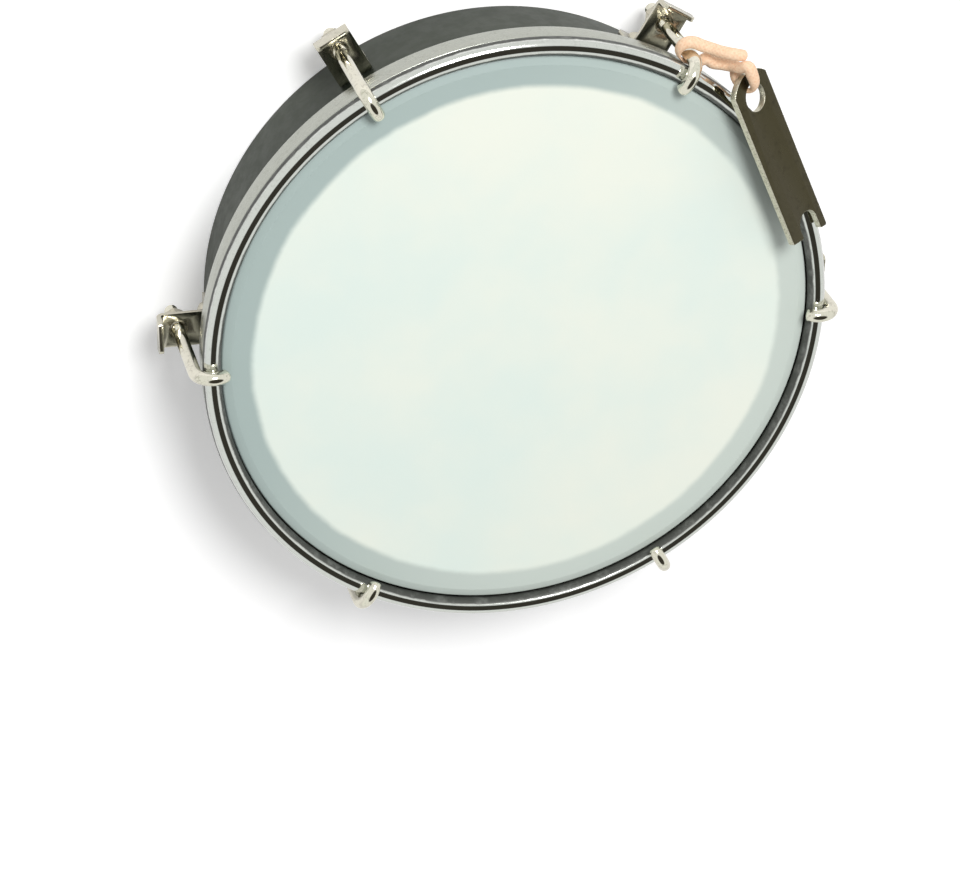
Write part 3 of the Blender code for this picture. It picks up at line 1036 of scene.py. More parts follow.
@dataclass(frozen=True)
class Hoops:
    """The channel that grips the film's edge, and the round rod that is pulled down on it."""

    shell: Shell = field(default_factory=Shell)
    play: float = 0.0009
    sheet: float = 0.0010
    width: float = 0.0063
    height: float = 0.0076
    inner_height: float = 0.0048
    bend: float = 0.0012
    rod_diameter: float = 0.0047
    rod_above_edge: float = 0.0004
    rod_inset: float = 0.0016
    rod_sides: int = 40
    segments: int = 288

    @property
    def inside(self) -> float:
        """The channel's inner radius."""
        return self.shell.radius + self.play

    @property
    def outside(self) -> float:
        """The channel's outer radius."""
        return self.inside + self.width

    @property
    def rod_radius(self) -> float:
        """Half of the rod's thickness."""
        return self.rod_diameter / 2

    @property
    def ring_radius(self) -> float:
        """The radius of the ring that the rod is bent to."""
        return self.outside - self.rod_inset

    @property
    def rod_height(self) -> float:
        """The height of the rod's centre."""
        return self.shell.depth + self.rod_above_edge

    @property
    def top(self) -> float:
        """The height of the channel's outer wall, which the rod rests on at its inner corner."""
        reach = self.rod_radius + GAP
        return self.rod_height - math.sqrt(reach ** 2 - (self.rod_inset - self.sheet) ** 2)

    @property
    def bottom(self) -> float:
        """The height of the channel's underside."""
        return self.top - self.height

    def channel_section(self) -> list[Vector]:
        """The channel's closed section.

        Returns:
            Its points, as (radius, height).
        """
        half = self.sheet / 2
        web = self.bottom + half
        return sheet_outline(rounded([
            (self.inside + half, self.bottom + self.inner_height - half, 0),
            (self.inside + half, web, self.bend),
            (self.outside - half, web, self.bend),
            (self.outside - half, self.top - half, 0),
        ]), self.sheet)

    def build(self, turned: GeometryTree, satin: bpy.types.Material,
              chrome: bpy.types.Material) -> None:
        """Make both hoops and let them ride on the drum.

        Args:
            turned: The tree that turns their sections.
            satin: The channel's metal.
            chrome: The rod's metal.
        """
        channel = line_mesh(clockwise(self.channel_section()), closed=True)
        piece = turned.apply("flesh_hoop_channel", channel, Path_Radius=self.inside,
                             Segments=self.segments, Material=satin)
        settle(piece, Body.DRUM.value, ["flesh_hoop"])
        ring = arc((self.ring_radius, self.rod_height), self.rod_radius, 360, 0, self.rod_sides)
        piece = turned.apply("counter_hoop_rod", line_mesh(ring[:-1], closed=True),
                             Path_Radius=self.ring_radius, Segments=self.segments, Material=chrome)
        settle(piece, Body.DRUM.value, ["counter_hoop"])


@dataclass(frozen=True)
class Drumhead:
    """The film over the bearing edge, with its collar down into the channel."""

    hoops: Hoops = field(default_factory=Hoops)
    film: float = 0.0003
    from_wall: float = 0.0014
    knee_from_collar: float = 0.0006
    knee_drop: float = 0.0006
    knee_bend: float = 0.0006
    collar_drop: float = 0.0024
    shoulder: float = 0.0005
    bend: float = 0.0010
    face_rings: int = 12
    segments: int = 288

    def section(self) -> list[Vector]:
        """The film's outline from the axis outwards over its face and back below.

        Returns:
            Its points, as (radius, height).
        """
        level = self.hoops.shell.depth + GAP + self.film / 2
        collar = self.hoops.inside + self.hoops.sheet + self.from_wall
        bottom = self.hoops.bottom + self.hoops.sheet + GAP
        edge = rounded([
            (0, level, 0),
            (self.hoops.shell.radius + self.shoulder, level, self.bend),
            (collar - self.knee_from_collar, level - self.knee_drop, self.knee_bend),
            (collar, level - self.collar_drop, self.bend),
            (collar, bottom, 0),
        ])
        rings = [Vector((edge[1].x * step / self.face_rings, level))
                 for step in range(1, self.face_rings)]
        outline = sheet_outline([edge[0], *rings, *edge[1:]], self.film)
        around = [point for point in outline if point.x > MERGE_DISTANCE]
        return [Vector((0, level + self.film / 2)), *around, Vector((0, level - self.film / 2))]

    def build(self, turned: GeometryTree, material: bpy.types.Material) -> None:
        """Make the head and let it ride on the drum.

        Args:
            turned: The tree that turns its section.
            material: Its film.
        """
        piece = turned.apply("head_film", line_mesh(self.section()),
                             Path_Radius=self.hoops.shell.radius, Segments=self.segments,
                             Material=material)
        settle(piece, Body.DRUM.value, ["drumhead"])


@dataclass(frozen=True)
class LugRing:
    """The six lugs: bent brackets with their rivets, hooks over the rod, and nuts.

    A rivet's skirt is the share of its head's height below the dome. A hook's point is the share
    of its thickness that its threaded end starts with, and it grows by a step at each ring. A
    nut's face is the share of its width that stays flat, and what turns its corners down starts
    clear of them.
    """

    hoops: Hoops = field(default_factory=Hoops)
    count: int = 6
    bracket_sheet: float = 0.0012
    bracket_width: float = 0.0096
    bracket_corner: float = 0.0014
    bracket_bend: float = 0.0014
    bracket_edge: float = 0.00018
    shelf_top: float = 0.0184
    foot_height: float = 0.0120
    lip_height: float = 0.0044
    lip_from_hook: float = 0.0051
    hook_hole: float = 0.0050
    rivet_diameter: float = 0.0032
    rivet_head: float = 0.0070
    rivet_head_height: float = 0.0020
    rivet_tail: float = 0.0055
    rivet_tail_height: float = 0.0013
    rivet_from_foot_end: float = 0.0051
    rivet_skirt: float = 0.15
    rivet_dome_steps: int = 10
    rivet_tail_steps: int = 8
    hook_diameter: float = 0.00355
    hook_wrap: float = 128.0
    hook_tip: float = 0.0008
    hook_tip_angles: tuple[float, ...] = (20, 40, 58, 72)
    hook_point: float = 0.78
    hook_point_growth: float = 0.055
    hook_arc_steps: int = 28
    hook_sides: int = 28
    thread_below_shelf: float = 0.0105
    thread_above_shelf: float = 0.0030
    thread_pitch: float = 0.0007
    thread_depth: float = 0.00022
    thread_rings: int = 8
    nut_across_flats: float = 0.0070
    nut_height: float = 0.0040
    nut_edge: float = 0.00012
    nut_play: float = GAP / 3
    nut_face: float = 0.97
    nut_chamfer: float = 32.0
    nut_clear: float = 1.01
    nut_turned_sides: int = 72
    hole_sides: int = 40

    @property
    def hook_bend(self) -> float:
        """The radius that a hook's middle line bends to over the rod."""
        return self.hoops.rod_radius + GAP + self.hook_diameter / 2

    @property
    def hook_radius(self) -> float:
        """How far a hook's shank lies from the drum's axis."""
        return self.hoops.ring_radius + self.hook_bend

    @property
    def shelf_back(self) -> float:
        """The height of the shelf's underside, which the nut sits under."""
        return self.shelf_top - self.bracket_sheet

    @property
    def foot_face(self) -> float:
        """How far a bracket's foot stands out from the drum's axis."""
        return self.hoops.shell.radius + GAP + self.bracket_sheet

    @property
    def thread_top(self) -> float:
        """The height that a hook's thread reaches up to."""
        return self.shelf_top + self.thread_above_shelf

    @property
    def rivet_height(self) -> float:
        """The height of a rivet's centre."""
        return self.shelf_top - self.foot_height + self.rivet_from_foot_end

    @property
    def foot(self) -> float:
        """Where the middle of a foot's sheet lies, outwards from the hook's axis."""
        return self.foot_face - self.bracket_sheet / 2 - self.hook_radius

    def strip(self) -> bpy.types.Mesh:
        """The bracket's bent strip.

        Returns:
            A mesh of its middle, with x outwards from the hook's axis and z from its shelf.
        """
        half = self.bracket_sheet / 2
        path = rounded([
            (self.foot, -self.foot_height, 0),
            (self.foot, -half, self.bracket_bend),
            (self.lip_from_hook, -half, self.bracket_bend),
            (self.lip_from_hook, self.lip_height, 0),
        ])
        ends = []
        for corner in arc((0, 0), self.bracket_corner, 0, 90):
            inset = Vector((0, self.bracket_corner - corner.x))
            ends.append((inset, self.bracket_width / 2 - self.bracket_corner + corner.y))
        rows = [(path[0] + inset, breadth) for inset, breadth in ends]
        rows += [(point, self.bracket_width / 2) for point in path[1:-1]]
        rows += [(path[-1] - inset, breadth) for inset, breadth in reversed(ends)]
        corners = [(point.x, side * breadth, point.y)
                   for point, breadth in rows for side in (-1, 1)]
        quads = [(at, at + 2, at + 3, at + 1) for at in range(0, len(corners) - 2, 2)]
        return drawn("bracket_strip", corners, faces=quads)

    def bracket(self) -> bpy.types.Mesh:
        """The bracket with its thickness, its two holes and its rounded edges.

        Returns:
            Its mesh, in the strip's frame.
        """
        body = linked("bracket_form", self.strip())
        modify(body, "sheet", "SOLIDIFY", thickness=self.bracket_sheet, offset=0,
               use_even_offset=True)
        level = self.rivet_height - self.shelf_top
        reach = 2 * self.bracket_sheet
        holes = [
            drill("hook_hole", self.hook_hole, Vector((0, 0, -reach)), Vector((0, 0, reach)),
                  self.hole_sides),
            drill("rivet_hole", self.rivet_diameter + 2 * GAP,
                  Vector((self.foot - reach, 0, level)), Vector((self.foot + reach, 0, level)),
                  self.hole_sides),
        ]
        return bevelled(body, holes, self.bracket_edge)

    def rivet(self) -> list[Vector]:
        """The rivet's outline, along its own axis from the foot's face.

        Returns:
            Its points, as (radius, height).
        """
        head = GAP + self.rivet_head_height
        tail = -(self.bracket_sheet + GAP + self.hoops.shell.wall + GAP)
        skirt = self.rivet_skirt * self.rivet_head_height
        quarter = math.pi / 2
        dome = [Vector((self.rivet_head / 2 * math.sin(angle),
                        GAP + skirt + (self.rivet_head_height - skirt) * math.cos(angle)))
                for angle in (quarter * step / self.rivet_dome_steps
                              for step in range(1, self.rivet_dome_steps + 1))]
        set_end = [Vector((self.rivet_tail / 2 * math.cos(angle),
                           tail - self.rivet_tail_height * math.sin(angle)))
                   for angle in (quarter * step / self.rivet_tail_steps
                                 for step in range(self.rivet_tail_steps))]
        return [Vector((0, head)), *dome, Vector((self.rivet_head / 2, GAP)),
                Vector((self.rivet_diameter / 2, GAP)), Vector((self.rivet_diameter / 2, tail)),
                *set_end, Vector((0, tail - self.rivet_tail_height))]

    def hook_line(self) -> bpy.types.Mesh:
        """The hook's middle line.

        Returns:
            A line with its share of the rod's thickness at each point.
        """
        start = self.shelf_back - self.thread_below_shelf
        step = self.thread_pitch / self.thread_rings
        rings = math.ceil((self.thread_top + self.thread_pitch - start) / step)
        knots = [(0.0, start + step * ring,
                  min(1.0, self.hook_point + self.hook_point_growth * ring))
                 for ring in range(rings)]
        reach = self.hook_bend
        for index in range(self.hook_arc_steps + 1):
            turn = math.radians(self.hook_wrap) * index / self.hook_arc_steps
            knots.append((reach * (math.cos(turn) - 1),
                          self.hoops.rod_height + reach * math.sin(turn), 1.0))
        last = math.radians(self.hook_wrap)
        end = knots[-1]
        for turn in map(math.radians, self.hook_tip_angles):
            reach = self.hook_tip * math.sin(turn)
            knots.append((end[0] - reach * math.sin(last), end[1] + reach * math.cos(last),
                          (1 + math.cos(turn)) / 2))
        mesh = line_mesh([Vector((x, 0, z)) for x, z, _ in knots])
        shares = mesh.attributes.new("share", "FLOAT", "POINT")
        shares.data.foreach_set("value", [share for _, _, share in knots])
        return mesh

    def nut(self) -> bpy.types.Mesh:
        """The hexagon nut with chamfered corners.

        Returns:
            Its mesh, centred on its own axis.
        """
        corner = self.nut_across_flats / math.cos(math.pi / 6) / 2
        flat = self.nut_across_flats / 2
        chamfer = (corner - flat) * math.tan(math.radians(self.nut_chamfer))
        half = self.nut_height / 2
        body = linked("nut_form", capped("nut_blank", bmesh.ops.create_cone, segments=6,
                                         radius1=corner, radius2=corner,
                                         depth=2 * self.nut_height))
        profile = ((0, half), (flat * self.nut_face, half),
                   (corner * self.nut_clear, half - chamfer))
        barrel = spun("nut_barrel", [*(Vector(point) for point in profile),
                                     *(Vector((x, -z)) for x, z in reversed(profile))],
                      self.nut_turned_sides)
        modify(body, "barrel", "BOOLEAN", operation="INTERSECT", object=barrel)
        bore = drill("nut_bore", self.hook_diameter + self.nut_play,
                     Vector((0, 0, -self.nut_height)), Vector((0, 0, self.nut_height)),
                     self.hole_sides)
        mesh = bevelled(body, [bore], self.nut_edge)
        bpy.data.objects.remove(barrel)
        return mesh

    def build(self, trees: dict[str, GeometryTree], nickel: bpy.types.Material,
              hook_metal: bpy.types.Material, nut_metal: bpy.types.Material) -> None:
        """Make every lug and let each piece ride on its body.

        Args:
            trees: The Geometry Nodes trees, by name.
            nickel: The metal of brackets and rivets.
            hook_metal: The hooks' metal.
            nut_metal: The nuts' metal.
        """
        ring, rod = trees["round_drum"], trees["threaded_rod"]
        numbers = range(1, self.count + 1)
        piece = ring.apply("lug_brackets", self.bracket(), Count=self.count, First_Azimuth=0.0,
                           Radius=self.hook_radius, Height=self.shelf_top, Material=nickel)
        settle(piece, Body.DRUM.value,
               [f"lug_bracket_{number}" for number in numbers])
        head = spun("rivet_form", self.rivet(), self.hole_sides)
        head.data.transform(Matrix.Rotation(math.pi / 2, 4, "Y"))
        piece = ring.apply("bracket_rivets", head.data, Count=self.count, First_Azimuth=0.0,
                           Radius=self.foot_face, Height=self.rivet_height, Material=nickel)
        bpy.data.objects.remove(head)
        settle(piece, Body.DRUM.value,
               [f"bracket_rivet_{number}" for number in numbers])
        line = self.hook_line()
        nut = self.nut()
        for number in numbers:
            azimuth = math.tau * (number - 1) / self.count
            piece = rod.apply(f"bent_hook_{number}", line, Diameter=self.hook_diameter,
                              Sides=self.hook_sides, Pitch=self.thread_pitch,
                              Thread_Depth=self.thread_depth, Thread_Top=self.thread_top,
                              Azimuth=azimuth, Radius=self.hook_radius, Material=hook_metal)
            settle(piece, f"hook_{number}", [f"tension_hook_{number}"])
            piece = ring.apply(f"hexagon_nut_{number}", nut, Count=1, First_Azimuth=azimuth,
                               Radius=self.hook_radius,
                               Height=self.shelf_back - GAP - self.nut_height / 2,
                               Material=nut_metal)
            settle(piece, f"nut_{number}", [f"hook_nut_{number}"])


def spun(name: str, points: Sequence[Vector], segments: int) -> bpy.types.Object:
    """A small closed shape turned about Z.

    Args:
        name: Its name.
        points: Its outline, as (radius, height) points that run downwards.
        segments: How many faces go round it.

    Returns:
        The shape.
    """
    body = linked(name + "_line", line_mesh(points))
    modify(body, "turn", "SCREW", axis="Z", steps=segments, render_steps=segments,
           use_merge_vertices=True, merge_threshold=MERGE_DISTANCE)
    return plain(name, body)


def drill(name: str, diameter: float, start: Vector, end: Vector, sides: int) -> bpy.types.Object:
    """A cylinder to cut a hole with.

    Args:
        name: Its name.
        diameter: Its thickness.
        start: The middle of one end.
        end: The middle of the other.
        sides: How many faces go round it.

    Returns:
        The cylinder.
    """
    along = end - start
    turn = along.to_track_quat("Z", "Y").to_matrix().to_4x4()
    return linked(name, capped(name, bmesh.ops.create_cone, segments=sides, radius1=diameter / 2,
                               radius2=diameter / 2, depth=along.length,
                               matrix=Matrix.Translation((start + end) / 2) @ turn))


def bevelled(body: bpy.types.Object, holes: Sequence[bpy.types.Object],
             width: float) -> bpy.types.Mesh:
    """Cut holes in a form and round its edges.

    Args:
        body: The form, which is removed.
        holes: The cutters, which are removed too.
        width: How wide the rounded edges are.

    Returns:
        The finished mesh.
    """
    for hole in holes:
        modify(body, hole.name, "BOOLEAN", operation="DIFFERENCE", object=hole)
    modify(body, "edge", "BEVEL", width=width, segments=BEVEL_STEPS, limit_method="ANGLE",
           angle_limit=math.radians(SHARP_ANGLE), harden_normals=True)
    finished = plain(body.name + "_done", body, BEVELLED_SHARP_ANGLE)
    for hole in holes:
        bpy.data.objects.remove(hole)
    mesh = finished.data
    bpy.data.objects.remove(finished)
    return mesh


@dataclass(frozen=True)
class TuningKey:
    """The flat key that leans on the rod: an eye at one end and a skewed open jaw at the other.

    Faces whose normal stands up less than face_upright belong to its sheared edge.
    """

    lugs: LugRing = field(default_factory=LugRing)
    width: float = 0.0140
    thickness: float = 0.0018
    crown: float = 0.0033
    eye_diameter: float = 0.0074
    eye_to_crown: float = 0.0070
    eye_to_jaw: float = 0.0438
    jaw_skew: float = 0.0029
    corner: float = 0.0005
    slot_play: float = 0.0002
    slot_depth: float = 0.0078
    slot_offset: float = 0.0009
    edge: float = 0.00016
    azimuth: float = 29.9
    lean: float = 36.0
    skew: float = 7.9
    eye_to_touch: float = 0.0265
    touch_offset: float = 0.0051
    crown_steps: int = 24
    slot_steps: int = 28
    eye_steps: int = 48
    edge_steps: int = 2
    face_upright: float = 0.8

    def outline(self) -> list[Vector]:
        """The key's outline.

        Returns:
            Its points, with x from its eye to its jaw and y towards its outer edge.
        """
        half = self.width / 2
        slot = (self.lugs.nut_across_flats + self.slot_play) / 2
        slot_centre = self.eye_to_jaw - self.slot_depth + slot

        def jaw(across: float) -> float:
            """How far the skewed jaw reaches at a distance across the key."""
            return self.eye_to_jaw - self.jaw_skew * (half - across) / self.width

        shoulder = self.crown - self.eye_to_crown
        crown_radius = (half ** 2 + self.crown ** 2) / (2 * self.crown)
        opening = math.degrees(math.asin(half / crown_radius))
        crown = arc((crown_radius - self.eye_to_crown, 0), crown_radius, 180 - opening,
                    180 + opening, self.crown_steps)
        bottom = arc((slot_centre, self.slot_offset), slot, 270, 90, self.slot_steps)
        inner, outer = self.slot_offset - slot, self.slot_offset + slot
        return rounded([
            (shoulder, -half, 0),
            (jaw(-half), -half, self.corner),
            (jaw(inner), inner, self.corner),
            *[(point.x, point.y, 0) for point in bottom],
            (jaw(outer), outer, self.corner),
            (jaw(half), half, self.corner),
            (shoulder, half, 0),
            *[(point.x, point.y, 0) for point in crown[1:-1]],
        ])

    def place(self) -> Matrix:
        """The key's place, where its underside rests on the rod.

        Returns:
            The matrix from the outline's frame to the drum's.
        """
        hoops = self.lugs.hoops
        outwards = Matrix.Rotation(math.radians(self.azimuth), 4, "Z")
        leaning = Matrix.Rotation(math.radians(self.lean), 4, "Y")
        turn = outwards @ leaning @ Matrix.Rotation(math.radians(-90 - self.skew), 4, "Z")
        along, across, face = (turn.to_3x3().col[axis] for axis in range(3))
        rod_centre = polar(self.azimuth, hoops.ring_radius, hoops.rod_height)
        touch = rod_centre + face * (hoops.rod_radius + GAP + self.thickness / 2)
        eye = touch - along * self.eye_to_touch - across * self.touch_offset
        return Matrix.Translation(eye) @ turn

    def build(self, face: bpy.types.Material, sheared: bpy.types.Material) -> None:
        """Make the key and let it ride on its own body.

        Args:
            face: The metal of its two flat sides.
            sheared: The metal of its edges.
        """
        curve = bpy.data.curves.new("key_outline", "CURVE")
        curve.dimensions = "2D"
        curve.fill_mode = "BOTH"
        curve.extrude = self.thickness / 2 - self.edge
        curve.bevel_depth = self.edge
        curve.bevel_resolution = self.edge_steps
        curve.offset = -self.edge
        eye = arc((0, 0), self.eye_diameter / 2, 0, 360, self.eye_steps)[:-1]
        for loop in (self.outline(), eye):
            spline = curve.splines.new("POLY")
            spline.use_cyclic_u = True
            spline.points.add(len(loop) - 1)
            for knot, point in zip(spline.points, loop):
                knot.co = (point.x, point.y, 0, 1)
        piece = plain("leaning_key", linked("key_form", curve))
        mesh = piece.data
        shape = bmesh.new()
        shape.from_mesh(mesh)
        bmesh.ops.remove_doubles(shape, verts=shape.verts, dist=MERGE_DISTANCE)
        shape.to_mesh(mesh)
        shape.free()
        dress(piece, face).data.materials.append(sheared)
        for polygon in mesh.polygons:
            polygon.material_index = int(abs(polygon.normal.z) < self.face_upright)
        smooth(mesh)
        mesh.transform(self.place())
        settle(piece, Body.KEY.value, ["tuning_key"])


@dataclass(frozen=True)
class KeyCord:
    """The cord that is hitched round a hook and led through the key's eye.

    A strand knot is an offset from the hook's axis at the rod's centre. A hitch knot is its angle
    from the outward direction, its distance from that axis and its height from the rod's centre.
    Each knot ends with the share of the cord's thickness that is left where it is squeezed.
    The held and free reaches, along +X from the axis, are not used.
    """

    lugs: LugRing = field(default_factory=LugRing)
    lug_azimuth: float = 60.0
    diameter: float = 0.0032
    spacing: float = 0.0004
    sides: int = 24
    thinnest: float = 0.24
    spread: float = 0.20
    hitch_reach: float = 0.0045
    strand_reach: float = 0.0062
    held_reach: float = 0.0040
    free_reach: float = 0.0100
    curve_steps: int = 20
    cap_bulge: float = 0.6
    cap_angles: tuple[float, ...] = (25, 50, 72)
    start: Knots = (
        (0.0119, 0.0015, 0.0034, 0.90), (0.0101, 0.0018, 0.0034, 1), (0.0083, 0.0020, 0.0026, 1),
        (0.0064, 0.0021, 0.0011, 1), (0.0050, 0.0023, -0.0003, 1))
    hitch: Knots = (
        (-12, 0.0039, -0.0016, 1), (20, 0.0037, -0.0023, 1), (48, 0.0037, -0.0029, 0.95),
        (72, 0.0035, -0.0034, 0.82), (93, 0.0032, -0.0039, 0.60), (113, 0.0029, -0.0043, 0.40),
        (140, 0.0025, -0.0046, 0.20), (180, 0.0023, -0.0048, 0.13), (220, 0.0025, -0.0046, 0.20),
        (247, 0.0029, -0.0041, 0.40), (267, 0.0035, -0.0035, 0.65), (283, 0.0045, -0.0028, 0.88))
    end: Knots = (
        (0.0060, -0.0023, -0.0024, 1), (0.0082, -0.0025, -0.0016, 1),
        (0.0101, -0.0026, -0.0001, 0.95), (0.0111, -0.0020, 0.0030, 0.88),
        (0.0125, -0.0007, 0.0057, 0.95), (0.0136, -0.0028, 0.0059, 1),
        (0.0144, -0.0051, 0.0058, 0.85), (0.0145, -0.0071, 0.0050, 0.50),
        (0.0139, -0.0081, 0.0038, 0.42), (0.0129, -0.0081, 0.0023, 0.55),
        (0.0118, -0.0064, 0.0005, 0.88), (0.0120, -0.0050, -0.0014, 1),
        (0.0133, -0.0052, -0.0036, 1), (0.0120, -0.0041, -0.0054, 1),
        (0.0100, -0.0027, -0.0060, 1))

    @property
    def hook_axis(self) -> Vector:
        """Where the hook's axis passes the height of the rod's centre."""
        return polar(self.lug_azimuth, self.lugs.hook_radius, self.lugs.hoops.rod_height)

    def route(self) -> list[Vector]:
        """The cord's middle line, as a smooth curve through its knots.

        Returns:
            Evenly spaced points, whose fourth number is the share of the cord's thickness.
        """
        def knot(offset: Vector, share: float) -> Vector:
            """A point off the hook's axis."""
            return Vector((*(self.hook_axis + offset), share))

        points = [
            *(knot(Vector(offset), share) for *offset, share in self.start),
            *(knot(polar(self.lug_azimuth + angle, distance, height), share)
              for angle, distance, height, share in self.hitch),
            *(knot(Vector(offset), share) for *offset, share in self.end),
        ]
        ends = [2 * points[0] - points[1], *points, 2 * points[-1] - points[-2]]
        fine = []
        for before, start, end, after in zip(ends, ends[1:], ends[2:], ends[3:]):
            for step in range(self.curve_steps):
                t = step / self.curve_steps
                fine.append(0.5 * (2 * start + (end - before) * t
                                   + (2 * before - 5 * start + 4 * end - after) * t ** 2
                                   + (3 * start - before - 3 * end + after) * t ** 3))
        fine.append(points[-1])
        lengths = [0.0]
        for start, end in zip(fine, fine[1:]):
            lengths.append(lengths[-1] + (end - start).to_3d().length)
        count = round(lengths[-1] / self.spacing)
        spaced, index = [], 1
        for step in range(count + 1):
            wanted = lengths[-1] * step / count
            while index < len(lengths) - 1 and lengths[index] < wanted:
                index += 1
            share = (wanted - lengths[index - 1]) / (lengths[index] - lengths[index - 1])
            spaced.append(fine[index - 1].lerp(fine[index], min(1.0, share)))
        return spaced

    def ring(self, knot: Vector, tangent: Vector, side: Vector) -> list[Vector]:
        """The points round the cord at one knot.

        Args:
            knot: The knot's place and its share of the cord's thickness.
            tangent: The way that the cord runs there.
            side: The way to the ring's first point.

        Returns:
            A ring of points, flattened against the hook where hoop and hook squeeze the cord, and
            drawn in evenly where the key's eye does.
        """
        centre = knot.to_3d()
        share = max(self.thinnest, min(1.0, knot.w))
        other = tangent.cross(side)
        outward = centre - self.hook_axis
        outward.z = 0
        loose = (outward.length - self.hitch_reach) / (self.strand_reach - self.hitch_reach)
        loose = min(1.0, max(0.0, loose))
        outward = (outward - tangent * outward.dot(tangent)).normalized()
        wide = tangent.cross(outward)
        points = []
        for step in range(self.sides):
            angle = math.tau * step / self.sides
            reach = self.diameter / 2 * (side * math.cos(angle) + other * math.sin(angle))
            flat = reach - outward * reach.dot(outward) * (1 - share)
            flat += wide * reach.dot(wide) * self.spread * (1 - share)
            points.append(centre + flat.lerp(reach * share, loose))
        return points

    def tube(self, knots: Sequence[Vector]) -> bpy.types.Mesh:
        """The cord's closed tube with round ends, and its braid map.

        Args:
            knots: The cord's middle line, with the share of its thickness.

        Returns:
            The tube's mesh.
        """
        spots = [knot.to_3d() for knot in knots]
        tangents = [(spots[min(at + 1, len(spots) - 1)] - spots[max(at - 1, 0)]).normalized()
                    for at in range(len(spots))]
        side = tangents[0].orthogonal().normalized()
        rows = []
        for knot, tangent in zip(knots, tangents):
            side = (side - tangent * side.dot(tangent)).normalized()
            rows.append(self.ring(knot, tangent, side))
        for at, sign in ((0, -1), (-1, 1)):
            centre, tangent, last = spots[at], tangents[at], rows[at]
            for turn in map(math.radians, self.cap_angles):
                shift = tangent * sign * self.diameter / 2 * self.cap_bulge * math.sin(turn)
                cap = [centre + shift + (point - centre) * math.cos(turn) for point in last]
                rows.insert(0 if at == 0 else len(rows), cap)
        count = len(rows)
        points = [point for row in rows for point in row]
        faces = [(row * self.sides + at, row * self.sides + (at + 1) % self.sides,
                  (row + 1) * self.sides + (at + 1) % self.sides, (row + 1) * self.sides + at)
                 for row in range(count - 1) for at in range(self.sides)]
        faces.append(tuple(reversed(range(self.sides))))
        faces.append(tuple((count - 1) * self.sides + at for at in range(self.sides)))
        mesh = drawn("cord_tube", points, faces=faces)
        braid = mesh.uv_layers.new(name="braid")
        girth = math.pi * self.diameter
        for index in range((count - 1) * self.sides):
            row, at = divmod(index, self.sides)
            low, high = row * self.spacing / girth, (row + 1) * self.spacing / girth
            spans = ((at, low), (at + 1, low), (at + 1, high), (at, high))
            for corner, (across, along) in enumerate(spans):
                braid.data[4 * index + corner].uv = (across / self.sides, along)
        return mesh

    def build(self, material: bpy.types.Material) -> None:
        """Make the cord along its route, hitched round the hook and led through the key's eye.

        Args:
            material: Its braid.
        """
        knots = self.route()
        piece = dress(linked("hitched_cord", self.tube(knots)), material)
        piece.data.shade_smooth()
        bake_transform(piece)
        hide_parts("key_cord")
        report(piece)


